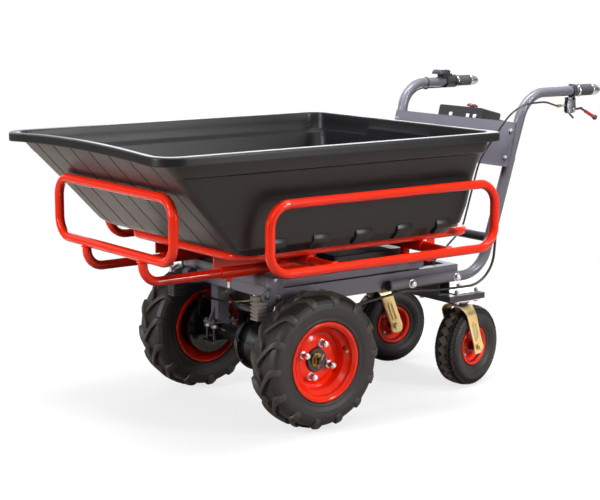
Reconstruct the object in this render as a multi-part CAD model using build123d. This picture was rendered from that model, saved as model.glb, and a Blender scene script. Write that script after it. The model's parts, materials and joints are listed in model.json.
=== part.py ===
from build123d import *
import os
from math import atan2, cos, degrees, radians, sin, sqrt, tan

os.makedirs("parts", exist_ok=True)

# Driving sizes in millimetres. +X is the tipping end, +Y the operator's left, the floor is z = 0.
RUN_FIT = 0.06           # radial clearance of a running fit
SLIDE_FIT = 0.10         # radial clearance of a sliding tube
GAP = 0.5                # free space between faces that move past each other

# Drive wheels
TYRE_D = 400.0           # over the lugs
TYRE_W = 120.0
LUG_H = 12.0
LUG_W = 22.0
LUG_LENGTH = 78.0
LUG_SLANT = 36.0         # degrees from the axle direction
LUGS_PER_SIDE = 13
RIM_D = 232.0            # over the flanges
RIM_W = 106.0
RIM_SHEET = 4.0
WHEEL_GAP = 11.0         # between a tyre and the chassis rail
AXLE_X = 281.0
SHAFT_R = 11.0
HUB_R = 33.0
DRUM_R = 78.0
DRUM_WALL = 5.0
STUD_CIRCLE_R = 50.0
WHEEL_NUT_LENGTH = 28.0

# Castors
CASTOR_D = 256.0
CASTOR_W = 85.0
CASTOR_RIM_D = 122.0
CASTOR_RIM_W = 58.0
CASTOR_X = -354.0
CASTOR_IN = 32.0         # castor pivots from the outer faces of the rails
CASTOR_TRAIL = 50.0
CASTOR_LEFT_TURN = 12.0  # degrees, how the castors stand at rest
CASTOR_RIGHT_TURN = -7.0
FORK_SHEET = 5.0
FORK_LEG_W = 46.0
KING_PIN_R = 8.0
CASTOR_BOLT_R = 6.0
SEAL_R = 36.0

# Chassis
CHASSIS_W = 464.0
RAIL_W = 30.0
RAIL_H = 50.0
CHASSIS_BOTTOM = 350.0
CHASSIS_REAR = -324.0
HINGE_X = 364.0
HINGE_PIN_R = 6.0
PAN_SHEET = 3.0
PAN_FRONT = 165.0
POST_W = 40.0
FOOT_PLATE = 6.0
AXLE_TUBE_R = 25.0
REAR_TUBE_H = 42.0
REAR_TUBE_W = 45.0
REAR_TUBE_X = -270.0
BEAM_OVER = 30.0         # beam beyond the rails at each end
BEAM_FRONT = -262.0
BEAM_REAR = -408.0
BEAM_H = 20.0
BEAM_WALL = 3.0
PLATE_SIDE = 106.0
PLATE_SHEET = 5.0
PLATE_BOLT_R = 4.5

# Drive unit and battery
DIFF_R = 72.0
DIFF_W = 120.0
DIFF_Y = 30.0
MOTOR_R = 62.0
MOTOR_LENGTH = 190.0
MOTOR_BACK = 140.0       # motor axis behind the axle
BATTERY_LENGTH = 260.0
BATTERY_W = 350.0
BATTERY_H = 108.0
BATTERY_REAR = -150.0
CONTROLLER_LENGTH = 48.0
CONTROLLER_W = 190.0

# Handles
HANDLE_D = 32.0
HANDLE_FRONT = -37.0
HANDLE_LOW_Z = 367.0
HANDLE_LOW_X = -403.0
HANDLE_TOP_X = -546.0
HANDLE_TOP_Y = 285.0
HANDLE_TOP_Z = 918.0
HANDLE_END = -852.0
HANDLE_BEND = 95.0
CROSSBAR_D = 30.0
CROSSBAR_Z = 475.0
GRIP_LENGTH = 104.0
GRIP_D = 36.0
GRIP_CAP = 18.0          # rubber beyond the end of the tube
LEVER_R = 3.0            # bent arm of the brake lever
LEVER_SLEEVE_R = 5.5
LEVER_SLEEVE = 52.0      # length of the sleeve up to the ball
LEVER_BALL_R = 9.0

# Dash
DASH_Z = 758.0
DASH_H = 140.0
DASH_W = 572.0
DASH_SHEET = 3.0
DASH_LIP = 18.0
BOX_W = 206.0
BOX_H = 144.0
BOX_DEPTH = 78.0
BOX_Y = 25.0
BOX_CORNER = 7.0
LID_SHEET = 5.0
STOP_R = 18.0            # mushroom of the emergency stop
STOP_CAP = 9.0           # height of the mushroom's cap
STOP_TRAVEL = 5.0
KEY_Y = 205.0

# Tilting frame and platform
TILT_TUBE = 30.0
TILT_REAR = -185.0
TILT_FRONT = 382.0
TILT_GAP = 4.0           # rubber pads between tilt frame and chassis
LUG_SHEET = 6.0
HOOP_D = 27.0
LEG_D = 26.6             # hoop legs, sized for the receivers
RECEIVER_D = 34.0
RECEIVER_Y = 155.0
RECEIVER_REAR = 168.0
RECEIVER_FRONT = 505.0
RING_FRONT = 530.0
RING_REAR = -318.0
RING_HALF_W = 290.0
RING_BEND = 60.0
CROSS_FRONT_X = 296.0
CROSS_REAR_X = -122.0
CROSS_HALF = 305.0
WEB_SHEET = 5.0

# Hoops
SIDE_HOOP_Y = 430.0
SIDE_HOOP_FRONT = 525.0
SIDE_HOOP_REAR = -286.0
SIDE_HOOP_H = 190.0
SIDE_HOOP_BEND = 62.0
SIDE_LEG = 365.0         # length of a leg from the hoop plane
FRONT_HOOP_X = 754.0
FRONT_HOOP_HALF_W = 315.0
FRONT_HOOP_LOW = 524.0
FRONT_HOOP_H = 174.0
FRONT_HOOP_BEND = 57.0
FRONT_LEG_REAR = 215.0
FRONT_LEG_BEND = 50.0
CLAMP_X = 473.0
CLAMP_R = 4.0

# Tub
TUB_WALL = 5.0
TUB_TOP = 826.0
TUB_STEP_Z = 765.0
TUB_FLOOR_HALF = 342.0
TUB_LOW_HALF = 370.0
TUB_HIGH_HALF = 408.0
TUB_BAND = 18.0          # how far the upper band stands out
TUB_FLOOR_REAR = -167.0
TUB_HIGH_REAR = -258.0
TUB_FLOOR_FRONT = 530.0
TUB_FRONT_R = 100.0      # bend between the floor and the slope
TUB_SLOPE = 47.0         # degrees of the slope from the floor
TUB_FRONT_CORNER = 20.0  # at the floor
TUB_CORNER_GAIN = 10.0   # how much wider the front corners are at the band
BAND_CORNER = 50.0
TUB_REAR_R = 62.0
TUB_CHAMFER = 25.0
LIP_W = 25.0
LIP_H = 25.0
LIP_FRONT = 870.0
LIP_ARCH = 11.0          # rise of the front lip in its middle
GROOVES = 7
GROOVE_PITCH = 104.0
GROOVE_LENGTH = 220.0
GROOVE_W = 4.0
GROOVE_DEPTH = 1.5

# Sizes that follow from the ones above
AXLE_Z = TYRE_D / 2
CASTOR_AXLE_Z = CASTOR_D / 2
RAIL_OUT = CHASSIS_W / 2
RAIL_IN = RAIL_OUT - RAIL_W
HALF_TRACK = RAIL_OUT + WHEEL_GAP + TYRE_W / 2
CASTOR_Y = RAIL_OUT - CASTOR_IN
BEAM_LENGTH = CHASSIS_W + 2 * BEAM_OVER
CHASSIS_TOP = CHASSIS_BOTTOM + RAIL_H
HINGE_Z = CHASSIS_BOTTOM + RAIL_H / 2
BEAM_TOP = CHASSIS_BOTTOM - REAR_TUBE_H
BEAM_BOTTOM = BEAM_TOP - BEAM_H
TILT_BOTTOM = CHASSIS_TOP + TILT_GAP
TILT_TOP = TILT_BOTTOM + TILT_TUBE
TILT_OUT = RAIL_OUT + 1.0
TILT_IN = TILT_OUT - TILT_TUBE
RECEIVER_Z = TILT_TOP + RECEIVER_D / 2
CROSS_Z = RECEIVER_Z + RECEIVER_D + 0.5
RING_Z = CROSS_Z + (RECEIVER_D + HOOP_D) / 2 - 1.0
TUB_FLOOR = RING_Z + HOOP_D / 2
HANDLE_LOW_Y = RAIL_OUT + HANDLE_D / 2
RISE = HANDLE_TOP_Z - HANDLE_LOW_Z
LEAN_X = (HANDLE_TOP_X - HANDLE_LOW_X) / RISE
LEAN_Y = (HANDLE_TOP_Y - HANDLE_LOW_Y) / RISE
LEAN = degrees(atan2(-LEAN_X, 1.0))


def block(x0, x1, y0, y1, z0, z1):
    """Box between two corners."""
    middle = Pos((x0 + x1) / 2, (y0 + y1) / 2, (z0 + z1) / 2)
    return middle * Box(abs(x1 - x0), abs(y1 - y0), abs(z1 - z0))


def rod(start, end, radius):
    """Round bar between two points."""
    run = Vector(*end) - Vector(*start)
    return extrude(Plane(start, z_dir=run) * Circle(radius), run.length)


def hexagon(start, along, across, height):
    """Hexagon head or nut standing on a point."""
    shape = RegularPolygon(across / 2, 6, major_radius=False)
    return extrude(Plane(start, z_dir=along) * shape, height)


def turned(*points):
    """Ring turned about the Y axis from (radius, offset) points."""
    return revolve(make_face(Polyline(*points, close=True)), Axis.Y)


def bent(points, bend, radius):
    """Round bar along straight runs joined by tangent arcs."""
    path = FilletPolyline(*points, radius=bend)
    return sweep(Plane(path @ 0, z_dir=path % 0) * Circle(radius), path=path)


def hoop(plane, width, height, bend, radius):
    """Closed round bar loop on a plane, bent as two halves."""
    halves = Part()
    for side in (-1, 1):
        x = side * width / 2
        y = height / 2
        corners = ((0, -y, 0), (x, -y, 0), (x, y, 0), (0, y, 0))
        halves += bent([plane.from_local_coords(corner) for corner in corners], bend, radius)
    return halves


def pair(solid):
    """A piece and its mirror image across the centre plane."""
    return solid + mirror(solid, about=Plane.XZ)


def upright(z):
    """Centre of the left handle tube at a height on its leaning run."""
    along = z - HANDLE_LOW_Z
    return (HANDLE_LOW_X + LEAN_X * along, HANDLE_LOW_Y + LEAN_Y * along, z)


def save(node, solid):
    export_step(solid, f"parts/{node}.step")


def save_pair(node, solid):
    """Left piece and its mirrored right piece as two nodes."""
    save(node + "_left", solid)
    save(node + "_right", mirror(solid, about=Plane.XZ))


# Tyres: rubber ring with an air space, open towards the rim
def tyre(seat_r, flange_r, outer_r, half_w, bead_y, wall):
    shoulder_r = outer_r - 0.06 * outer_r
    shoulder_y = 0.82 * half_w
    side_r = 0.5 * (flange_r + outer_r)
    mouth_y = 0.62 * bead_y
    edges = Polyline((seat_r, mouth_y), (seat_r, bead_y), (flange_r, bead_y)).edges()
    edges += [ThreePointArc((flange_r, bead_y), (side_r, half_w), (shoulder_r, shoulder_y))]
    edges += [ThreePointArc((shoulder_r, shoulder_y), (outer_r, 0), (shoulder_r, -shoulder_y))]
    edges += [ThreePointArc((shoulder_r, -shoulder_y), (side_r, -half_w), (flange_r, -bead_y))]
    edges += Polyline((flange_r, -bead_y), (seat_r, -bead_y), (seat_r, -mouth_y)).edges()
    edges += [ThreePointArc((seat_r, -mouth_y), (outer_r - wall, 0), (seat_r, mouth_y))]
    return revolve(make_face(edges), Axis.Y)


SEAT_R = RIM_D / 2 - 14.0
BEAD_Y = RIM_W / 2 - RIM_SHEET
carcass_r = AXLE_Z - LUG_H
drive_tyre = tyre(SEAT_R, RIM_D / 2 + 0.3, carcass_r, TYRE_W / 2, BEAD_Y, 11.0)
half_w = TYRE_W / 2
shoulder_cut = turned(
    (carcass_r - 14, -half_w), (AXLE_Z - 7, -half_w), (AXLE_Z, -half_w + 12),
    (AXLE_Z, half_w - 12), (AXLE_Z - 7, half_w), (carcass_r - 14, half_w),
)
bar = Box(30, LUG_LENGTH, LUG_W)
step = 360.0 / LUGS_PER_SIDE
bars = []
for i in range(LUGS_PER_SIDE):
    inner = Pos(AXLE_Z - 15 + 2, 0.49 * half_w, 0) * Rot(LUG_SLANT, 0, 0) * bar
    outer = Pos(AXLE_Z - 15 + 2, -0.49 * half_w, 0) * Rot(-LUG_SLANT, 0, 0) * bar
    bars.append(Rot(0, i * step + 90, 0) * inner)
    bars.append(Rot(0, (i + 0.5) * step + 90, 0) * outer)
lugs = shoulder_cut & (Part() + bars)
wheel_place = Pos(AXLE_X, HALF_TRACK, AXLE_Z)
save_pair("drive_tyre", wheel_place * (drive_tyre + lugs))

# Rims of the drive wheels: rolled barrel and a dished disc with a hub hole
half_rim = RIM_W / 2
well_r = SEAT_R - 15.0
barrel = turned(
    (RIM_D / 2, half_rim), (RIM_D / 2, BEAD_Y), (SEAT_R, BEAD_Y), (SEAT_R, 34), (well_r, 24),
    (well_r, -24), (SEAT_R, -34), (SEAT_R, -BEAD_Y), (RIM_D / 2, -BEAD_Y), (RIM_D / 2, -half_rim),
    (SEAT_R - RIM_SHEET, -half_rim), (SEAT_R - RIM_SHEET, -36), (well_r - RIM_SHEET, -26),
    (well_r - RIM_SHEET, 26), (SEAT_R - RIM_SHEET, 36), (SEAT_R - RIM_SHEET, half_rim),
)
dish_r = 0.5 * (STUD_CIRCLE_R + well_r)
disc = turned(
    (HUB_R, 6), (dish_r - 4, 6), (dish_r + 4, 0), (well_r - RIM_SHEET, 0),
    (well_r - RIM_SHEET, -4), (dish_r + 2, -4), (dish_r - 6, 2), (HUB_R, 2),
)
stud_turn = PolarLocations(STUD_CIRCLE_R, 4, start_angle=22)
stud_marks = [Vector(place.position.X, 0, place.position.Y) for place in stud_turn]
for mark in stud_marks:
    disc -= rod((mark.X, -10, mark.Z), (mark.X, 10, mark.Z), 5.2)
save_pair("drive_rim", wheel_place * (barrel + disc))

# Brake drum with hub: the hub carries the studs and sits on the half shaft
drum_back = -HALF_TRACK + RAIL_OUT + 8.0 + GAP
drum = turned(
    (SHAFT_R, 12), (HUB_R, 12), (HUB_R, 2), (STUD_CIRCLE_R + 12, 2), (STUD_CIRCLE_R + 12, -4),
    (DRUM_R, -8), (DRUM_R, drum_back), (DRUM_R - DRUM_WALL, drum_back), (DRUM_R - DRUM_WALL, -13),
    (HUB_R - 6, -13), (HUB_R - 6, drum_back + 24), (SHAFT_R, drum_back + 24),
)
for mark in stud_marks:
    drum -= rod((mark.X, -20, mark.Z), (mark.X, 10, mark.Z), 5.0)
save_pair("brake_drum", wheel_place * drum)

# Half shaft: runs in the axle housing and carries the hub
shaft_in = -HALF_TRACK + DIFF_Y + DIFF_W / 2 + 8.0
shaft = rod((0, shaft_in, 0), (0, 34, 0), SHAFT_R)
save_pair("half_shaft", wheel_place * shaft)

# Wheel nuts on their studs and the castle nut with its washer
nuts = rod((0, 12, 0), (0, 15, 0), 22) - rod((0, 11, 0), (0, 16, 0), SHAFT_R)
castle = hexagon((0, 15, 0), (0, 1, 0), 36, 16) - rod((0, 14, 0), (0, 32, 0), SHAFT_R)
nuts += castle - block(-3, 3, 26, 33, -30, 30) - block(-30, 30, 26, 33, -3, 3)
for mark in stud_marks:
    nuts += rod((mark.X, -12, mark.Z), (mark.X, 8, mark.Z), 5.0)
    nuts += hexagon((mark.X, 6, mark.Z), (0, 1, 0), 17, WHEEL_NUT_LENGTH)
save_pair("wheel_nuts", wheel_place * nuts)

# Castors: pressed fork with king pin, axle bolt, rim halves and tyre
castor_place = Pos(CASTOR_X, CASTOR_Y, 0)


def save_castor(node, solid):
    """The same castor piece under both ends of the beam, each turned its own way."""
    save(node + "_left", castor_place * Rot(0, 0, CASTOR_LEFT_TURN) * solid)
    save(node + "_right", Pos(CASTOR_X, -CASTOR_Y, 0) * Rot(0, 0, CASTOR_RIGHT_TURN) * solid)


half_gap = CASTOR_W / 2 + 4.5
leg_out = half_gap + FORK_SHEET
plate_top = BEAM_BOTTOM
plate_low = plate_top - PLATE_SHEET
seal_low = plate_low - 12.0
crown_top = seal_low - GAP
shoulder = 24.0
drop = 28.0
foot_z = CASTOR_AXLE_Z - FORK_LEG_W / 2
outline = Polyline(
    (leg_out, foot_z), (leg_out, crown_top - drop), (leg_out - shoulder, crown_top),
    (shoulder - leg_out, crown_top), (-leg_out, crown_top - drop), (-leg_out, foot_z),
    (-half_gap, foot_z), (-half_gap, crown_top - drop - 2),
    (shoulder - half_gap - 2, crown_top - FORK_SHEET), (half_gap - shoulder + 2, crown_top - FORK_SHEET),
    (half_gap, crown_top - drop - 2), (half_gap, foot_z), close=True,
)
channel = extrude(Plane.YZ * make_face(outline), 200, both=True)
leg_x = -CASTOR_TRAIL
leg_half = FORK_LEG_W / 2
side_view = make_face(Polyline(
    (-40, crown_top + 1), (40, crown_top + 1), (36, crown_top - drop), (leg_x + leg_half, CASTOR_AXLE_Z),
    (leg_x + leg_half - 9, foot_z), (leg_x - leg_half + 9, foot_z), (leg_x - leg_half, CASTOR_AXLE_Z),
    (-34, crown_top - drop), close=True,
))
fork = channel & extrude(Plane.XZ * side_view, 200, both=True)
fork += rod((0, 0, crown_top - FORK_SHEET), (0, 0, plate_top - 1.0), KING_PIN_R)
fork -= rod((leg_x, -100, CASTOR_AXLE_Z), (leg_x, 100, CASTOR_AXLE_Z), CASTOR_BOLT_R)
save_castor("castor_fork", fork)

axle_bolt = rod((leg_x, -leg_out - 12, CASTOR_AXLE_Z), (leg_x, leg_out + 2, CASTOR_AXLE_Z), CASTOR_BOLT_R)
axle_bolt += hexagon((leg_x, leg_out, CASTOR_AXLE_Z), (0, 1, 0), 19, 8)
axle_bolt += hexagon((leg_x, -leg_out, CASTOR_AXLE_Z), (0, -1, 0), 19, 10)
save_castor("castor_bolt", axle_bolt)

wheel_in_fork = Pos(leg_x, 0, CASTOR_AXLE_Z)
castor_seat = CASTOR_RIM_D / 2 - 10.0
castor_bead = CASTOR_RIM_W / 2 - 3.0
castor_tyre = tyre(castor_seat, CASTOR_RIM_D / 2 + 0.3, CASTOR_D / 2, CASTOR_W / 2, castor_bead, 11.0)
save_castor("castor_tyre", wheel_in_fork * castor_tyre)

half_rim = CASTOR_RIM_W / 2
rim_in = castor_seat - 3.0
castor_rim = turned(
    (CASTOR_RIM_D / 2, half_rim), (CASTOR_RIM_D / 2, castor_bead), (castor_seat, castor_bead),
    (castor_seat, -castor_bead), (CASTOR_RIM_D / 2, -castor_bead), (CASTOR_RIM_D / 2, -half_rim),
    (rim_in, -half_rim), (rim_in, half_rim),
)
for side in (-1, 1):
    castor_rim += turned((14, side * 20), (rim_in + 1, side * 8), (rim_in + 1, side * 5), (14, side * 17))
hub_half = half_gap - GAP
bore_r = CASTOR_BOLT_R + RUN_FIT
castor_rim += turned((bore_r, -hub_half), (15, -hub_half), (15, hub_half), (bore_r, hub_half))
save_castor("castor_rim", wheel_in_fork * castor_rim)

# Castor top plates with their raised bearing, the seal rings and the plate bolts: fixed to the beam
plates = block(-PLATE_SIDE / 2, PLATE_SIDE / 2, -PLATE_SIDE / 2, PLATE_SIDE / 2, plate_low, plate_top)
plates = fillet(plates.edges().filter_by(Axis.Z), 10)
plates += rod((0, 0, plate_low - 6), (0, 0, plate_low), SEAL_R + 4)
plates -= rod((0, 0, plate_low - 10), (0, 0, plate_top + 1), KING_PIN_R + RUN_FIT)
backing = block(-PLATE_SIDE / 2, PLATE_SIDE / 2, -PLATE_SIDE / 2, PLATE_SIDE / 2, BEAM_TOP, BEAM_TOP + 3)
plates += fillet(backing.edges().filter_by(Axis.Z), 10)
seal = rod((0, 0, seal_low), (0, 0, plate_low - 6), SEAL_R)
seal -= rod((0, 0, seal_low - 1), (0, 0, plate_low), KING_PIN_R + 4)
save("castor_plates", pair(castor_place * plates))
save("castor_seals", pair(castor_place * seal))
bolt_at = PLATE_SIDE / 2 - 13.0
plate_bolts = Part()
for sx in (-1, 1):
    for sy in (-1, 1):
        spot = (CASTOR_X + sx * bolt_at, CASTOR_Y + sy * bolt_at)
        plate_bolts += hexagon((*spot, plate_low), (0, 0, -1), 14, 7)
        plate_bolts += hexagon((*spot, BEAM_TOP + 3), (0, 0, 1), 14, 7)
        plate_bolts += rod((*spot, BEAM_TOP + 3), (*spot, BEAM_TOP + 13), PLATE_BOLT_R)
tube_bolt_x = BEAM_FRONT - 14.0
plate_bolts += hexagon((tube_bolt_x, CASTOR_Y - 80, BEAM_BOTTOM), (0, 0, -1), 14, 6)

# Rear beam: flat box section under the rear tube, closed by black end caps
half_beam = BEAM_LENGTH / 2
beam = block(BEAM_REAR, BEAM_FRONT, -half_beam, half_beam, BEAM_BOTTOM, BEAM_TOP)
beam = fillet(beam.edges().filter_by(Axis.Y), 3.5)
hollow = block(
    BEAM_REAR + BEAM_WALL, BEAM_FRONT - BEAM_WALL,
    -half_beam - 1, half_beam + 1, BEAM_BOTTOM + BEAM_WALL, BEAM_TOP - BEAM_WALL,
)
save("rear_beam", beam - hollow)
beam_cap = block(
    BEAM_REAR + 1, BEAM_FRONT - 1,
    half_beam, half_beam + 4, BEAM_BOTTOM + 1, BEAM_TOP - 1,
)

# Chassis: two rails with rounded noses for the hinge, cross tubes, battery pan, rear tube, axle posts
rail = block(CHASSIS_REAR, HINGE_X, RAIL_IN, RAIL_OUT, CHASSIS_BOTTOM, CHASSIS_TOP)
rail += rod((HINGE_X, RAIL_IN, HINGE_Z), (HINGE_X, RAIL_OUT, HINGE_Z), RAIL_H / 2)
rail -= rod((HINGE_X, RAIL_IN - 1, HINGE_Z), (HINGE_X, RAIL_OUT + 1, HINGE_Z), HINGE_PIN_R)
post_y = RAIL_IN - POST_W
foot_z = AXLE_Z + AXLE_TUBE_R
rail += block(AXLE_X - POST_W / 2, AXLE_X + POST_W / 2, post_y, RAIL_IN, foot_z, CHASSIS_TOP)
rail += block(AXLE_X - 46, AXLE_X + 46, post_y - 10, RAIL_IN + 6, foot_z, foot_z + FOOT_PLATE)
gusset = make_face(Polyline((0, 0), (24, 0), (0, 46), close=True))
gusset_y = post_y + POST_W / 2
for side in (-1, 1):
    corner = (AXLE_X + side * POST_W / 2, gusset_y, foot_z + FOOT_PLATE)
    spot = Plane(corner, x_dir=(side, 0, 0), z_dir=(0, -side, 0))
    rail += extrude(spot * gusset, 3, both=True)
chassis = pair(rail)
tube_z = CHASSIS_BOTTOM + 10
chassis += block(HINGE_X - 44, HINGE_X - 14, -RAIL_IN, RAIL_IN, tube_z, CHASSIS_TOP)
chassis += block(CHASSIS_REAR, CHASSIS_REAR + RAIL_W, -RAIL_IN, RAIL_IN, tube_z, CHASSIS_TOP)
chassis += block(CHASSIS_REAR, PAN_FRONT, -RAIL_IN, RAIL_IN, CHASSIS_BOTTOM, CHASSIS_BOTTOM + PAN_SHEET)
tube = block(
    REAR_TUBE_X - REAR_TUBE_W / 2, REAR_TUBE_X + REAR_TUBE_W / 2,
    -RAIL_OUT, RAIL_OUT, BEAM_TOP, CHASSIS_BOTTOM,
)
tube -= block(
    REAR_TUBE_X - REAR_TUBE_W / 2 + 3, REAR_TUBE_X + REAR_TUBE_W / 2 - 3,
    -RAIL_OUT - 1, RAIL_OUT + 1, BEAM_TOP + 3, CHASSIS_BOTTOM - 3,
)
save("chassis_frame", chassis + tube)

# Hinge pins: pressed into the rails, with a head outside the lugs of the tilt frame
lug_out = TILT_OUT + LUG_SHEET
pin = rod((HINGE_X, RAIL_IN - 6, HINGE_Z), (HINGE_X, lug_out + GAP, HINGE_Z), HINGE_PIN_R)
pin += rod((HINGE_X, lug_out + GAP, HINGE_Z), (HINGE_X, lug_out + GAP + 3, HINGE_Z), HINGE_PIN_R + 4)
save("hinge_pins", pair(pin))

# Axle: tubes with differential and gear case and brake backing plates, clamped under the foot plates
housing_end = RAIL_OUT + 2.0
housing = rod((AXLE_X, -housing_end, AXLE_Z), (AXLE_X, housing_end, AXLE_Z), AXLE_TUBE_R)
case = turned(
    (0, -DIFF_W / 2 - 26), (AXLE_TUBE_R + 6, -DIFF_W / 2 - 26), (DIFF_R - 18, -DIFF_W / 2),
    (DIFF_R, -DIFF_W / 4), (DIFF_R, DIFF_W / 4), (DIFF_R - 18, DIFF_W / 2),
    (AXLE_TUBE_R + 6, DIFF_W / 2 + 26), (0, DIFF_W / 2 + 26),
)
case += turned((0, -5), (DIFF_R + 13, -5), (DIFF_R + 13, 5), (0, 5))
diff_place = Pos(AXLE_X, DIFF_Y, AXLE_Z)
housing += diff_place * case
motor_x = AXLE_X - MOTOR_BACK
motor_y = DIFF_Y - 20.0
gear_plane = Plane((AXLE_X - MOTOR_BACK / 2, motor_y, AXLE_Z), x_dir=(1, 0, 0), z_dir=(0, 1, 0))
housing += extrude(gear_plane * SlotOverall(MOTOR_BACK + 2 * 54, 2 * 54), 24)
back = rod((AXLE_X, RAIL_OUT + 2, AXLE_Z), (AXLE_X, RAIL_OUT + 8, AXLE_Z), DRUM_R + 4)
housing += pair(back)
bore_end = housing_end + 10
shaft_end = HALF_TRACK + shaft_in
for side in (-1, 1):
    inner_end = (AXLE_X, side * (shaft_end - GAP), AXLE_Z)
    housing -= rod(inner_end, (AXLE_X, side * bore_end, AXLE_Z), SHAFT_R + RUN_FIT)
save("axle_housing", housing)

flange_bolts = Part()
for place in PolarLocations(DIFF_R + 7, 8, start_angle=12):
    spot = (AXLE_X + place.position.X, DIFF_Y + 5, AXLE_Z + place.position.Y)
    flange_bolts += hexagon(spot, (0, 1, 0), 10, 6)

# Drive motor: geared to the differential case, behind the axle
motor = turned(
    (0, 0), (MOTOR_R - 4, 0), (MOTOR_R, -4),
    (MOTOR_R, 4 - MOTOR_LENGTH), (MOTOR_R - 4, -MOTOR_LENGTH), (0, -MOTOR_LENGTH),
)
motor = Pos(motor_x, motor_y, AXLE_Z) * motor
save("drive_motor", motor)

# Brake linkage: cam levers on the backing plates and the cross rods that pull them
cam_x = AXLE_X + 40.0
cam_z = AXLE_Z + 50.0
pull_z = AXLE_Z + 105.0
lever = block(cam_x - 8, cam_x + 8, RAIL_OUT - 4, RAIL_OUT + 2, cam_z - 10, pull_z + 10)
lever += rod((cam_x, RAIL_OUT - 60, pull_z), (cam_x, RAIL_OUT - 4, pull_z), 4)
lever += rod((cam_x, 60, pull_z), (cam_x, RAIL_OUT - 60, pull_z), 3)
lever += rod((cam_x, 52, pull_z), (cam_x, 66, pull_z), 5)
equalizer = block(cam_x - 4, cam_x + 4, -52, 52, pull_z - 9, pull_z + 9)
linkage = pair(lever) + equalizer
save("brake_linkage", linkage)

# Clamp plates and bolts that hold the axle tube under the foot plates
clamp_z = AXLE_Z - AXLE_TUBE_R
saddle = block(AXLE_X - 46, AXLE_X + 46, post_y - 10, RAIL_IN + 6, clamp_z - FOOT_PLATE, clamp_z)
clamp_bolts = saddle
for sx in (-1, 1):
    for y in (post_y - 1, RAIL_IN - 3):
        spot_x = AXLE_X + sx * 36
        clamp_bolts += rod((spot_x, y, clamp_z), (spot_x, y, foot_z), 5)
        clamp_bolts += hexagon((spot_x, y, foot_z + FOOT_PLATE), (0, 0, 1), 17, 9)
        clamp_bolts += hexagon((spot_x, y, clamp_z - FOOT_PLATE), (0, 0, -1), 17, 7)
save("axle_fixings", pair(clamp_bolts) + flange_bolts)

# Battery case with a lid, and the motor controller in front of it, both standing in the pan
pan_top = CHASSIS_BOTTOM + PAN_SHEET
battery_front = BATTERY_REAR + BATTERY_LENGTH
half_battery = BATTERY_W / 2
battery = block(BATTERY_REAR, battery_front, -half_battery, half_battery, pan_top, pan_top + BATTERY_H - 22)
battery = fillet(battery.edges().filter_by(Axis.Z), 10)
lid = block(
    BATTERY_REAR - 3, battery_front + 3, -half_battery - 3, half_battery + 3,
    pan_top + BATTERY_H - 22, pan_top + BATTERY_H,
)
lid = fillet(lid.edges().filter_by(Axis.Z), 12)
lid = chamfer(lid.faces().sort_by(Axis.Z)[-1].edges(), 3)
save("battery_case", battery + lid)
controller_x = battery_front + 3.5
controller = block(
    controller_x, controller_x + CONTROLLER_LENGTH,
    -CONTROLLER_W / 2, CONTROLLER_W / 2, pan_top, pan_top + BATTERY_H - 4,
)
save("motor_controller", chamfer(controller.edges(), 2))

# Handles: one tube each, from the chassis rail up to the grip
handle_points = (
    (HANDLE_FRONT, HANDLE_LOW_Y, HANDLE_LOW_Z),
    (HANDLE_LOW_X, HANDLE_LOW_Y, HANDLE_LOW_Z),
    (HANDLE_TOP_X, HANDLE_TOP_Y, HANDLE_TOP_Z),
    (HANDLE_END, HANDLE_TOP_Y, HANDLE_TOP_Z),
)
handle = bent(handle_points, HANDLE_BEND, HANDLE_D / 2)
save_pair("handle", handle)
plug_start = (HANDLE_FRONT, HANDLE_LOW_Y, HANDLE_LOW_Z)
plug = rod(plug_start, (HANDLE_FRONT + 5, HANDLE_LOW_Y, HANDLE_LOW_Z), HANDLE_D / 2)
plug = fillet(plug.faces().sort_by(Axis.X)[-1].edges(), 2)
save("end_caps", pair(plug + beam_cap))
bolts = Part()
tube_side = HANDLE_LOW_Y + HANDLE_D / 2
for x in (HANDLE_FRONT - 77, CHASSIS_REAR + 32):
    bolts += rod((x, tube_side - 3, HANDLE_LOW_Z), (x, tube_side + 2, HANDLE_LOW_Z), 10)
    bolts += hexagon((x, tube_side + 2, HANDLE_LOW_Z), (0, 1, 0), 17, 7)
bolts -= handle
save("frame_bolts", pair(bolts + plate_bolts))

bar_x, bar_y, bar_z = upright(CROSSBAR_Z)
crossbar = rod((bar_x, -bar_y, bar_z), (bar_x, bar_y, bar_z), CROSSBAR_D / 2)
save("handle_crossbar", crossbar - pair(handle))

# Dash: leaning sheet in front of the uprights, box behind it with a lid towards the operator
dash_x, _, dash_z = upright(DASH_Z)
dash_place = Location((dash_x, 0, dash_z), (0, -LEAN, 0))
face_in = HANDLE_D / 2
face_out = face_in + DASH_SHEET
half_h = DASH_H / 2
dash = block(face_in, face_out, -DASH_W / 2, DASH_W / 2, -half_h, half_h)
dash += block(face_in, face_out + DASH_LIP, -DASH_W / 2, DASH_W / 2, -half_h, -half_h + DASH_SHEET)
save("dash_panel", dash_place * dash)

box_top = BOX_H - 40.0
box_back = face_in - BOX_DEPTH
box_left = BOX_Y + BOX_W / 2
box_right = BOX_Y - BOX_W / 2
control_box = block(box_back, face_in, box_right, box_left, -40.0, box_top)
control_box = fillet(control_box.edges().filter_by(Axis.X), BOX_CORNER)
stop_x = face_in - 46.0
collar_top = box_top + 2.0
control_box += rod((stop_x, BOX_Y, box_top - 1), (stop_x, BOX_Y, collar_top), STOP_R - 3)
control_box -= rod((stop_x, BOX_Y, box_top - 30), (stop_x, BOX_Y, collar_top + 1), 8 + RUN_FIT)
save("control_box", dash_place * control_box)
lid = block(box_back - LID_SHEET, box_back, box_right + 4, box_left - 4, -36.0, box_top - 4)
lid = fillet(lid.edges().filter_by(Axis.X), BOX_CORNER - 3)
save("control_lid", dash_place * lid)
near_gland_z = box_top - 92.0
glands = rod((stop_x, box_left, near_gland_z), (stop_x, box_left + 16, near_gland_z), 10)
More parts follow.
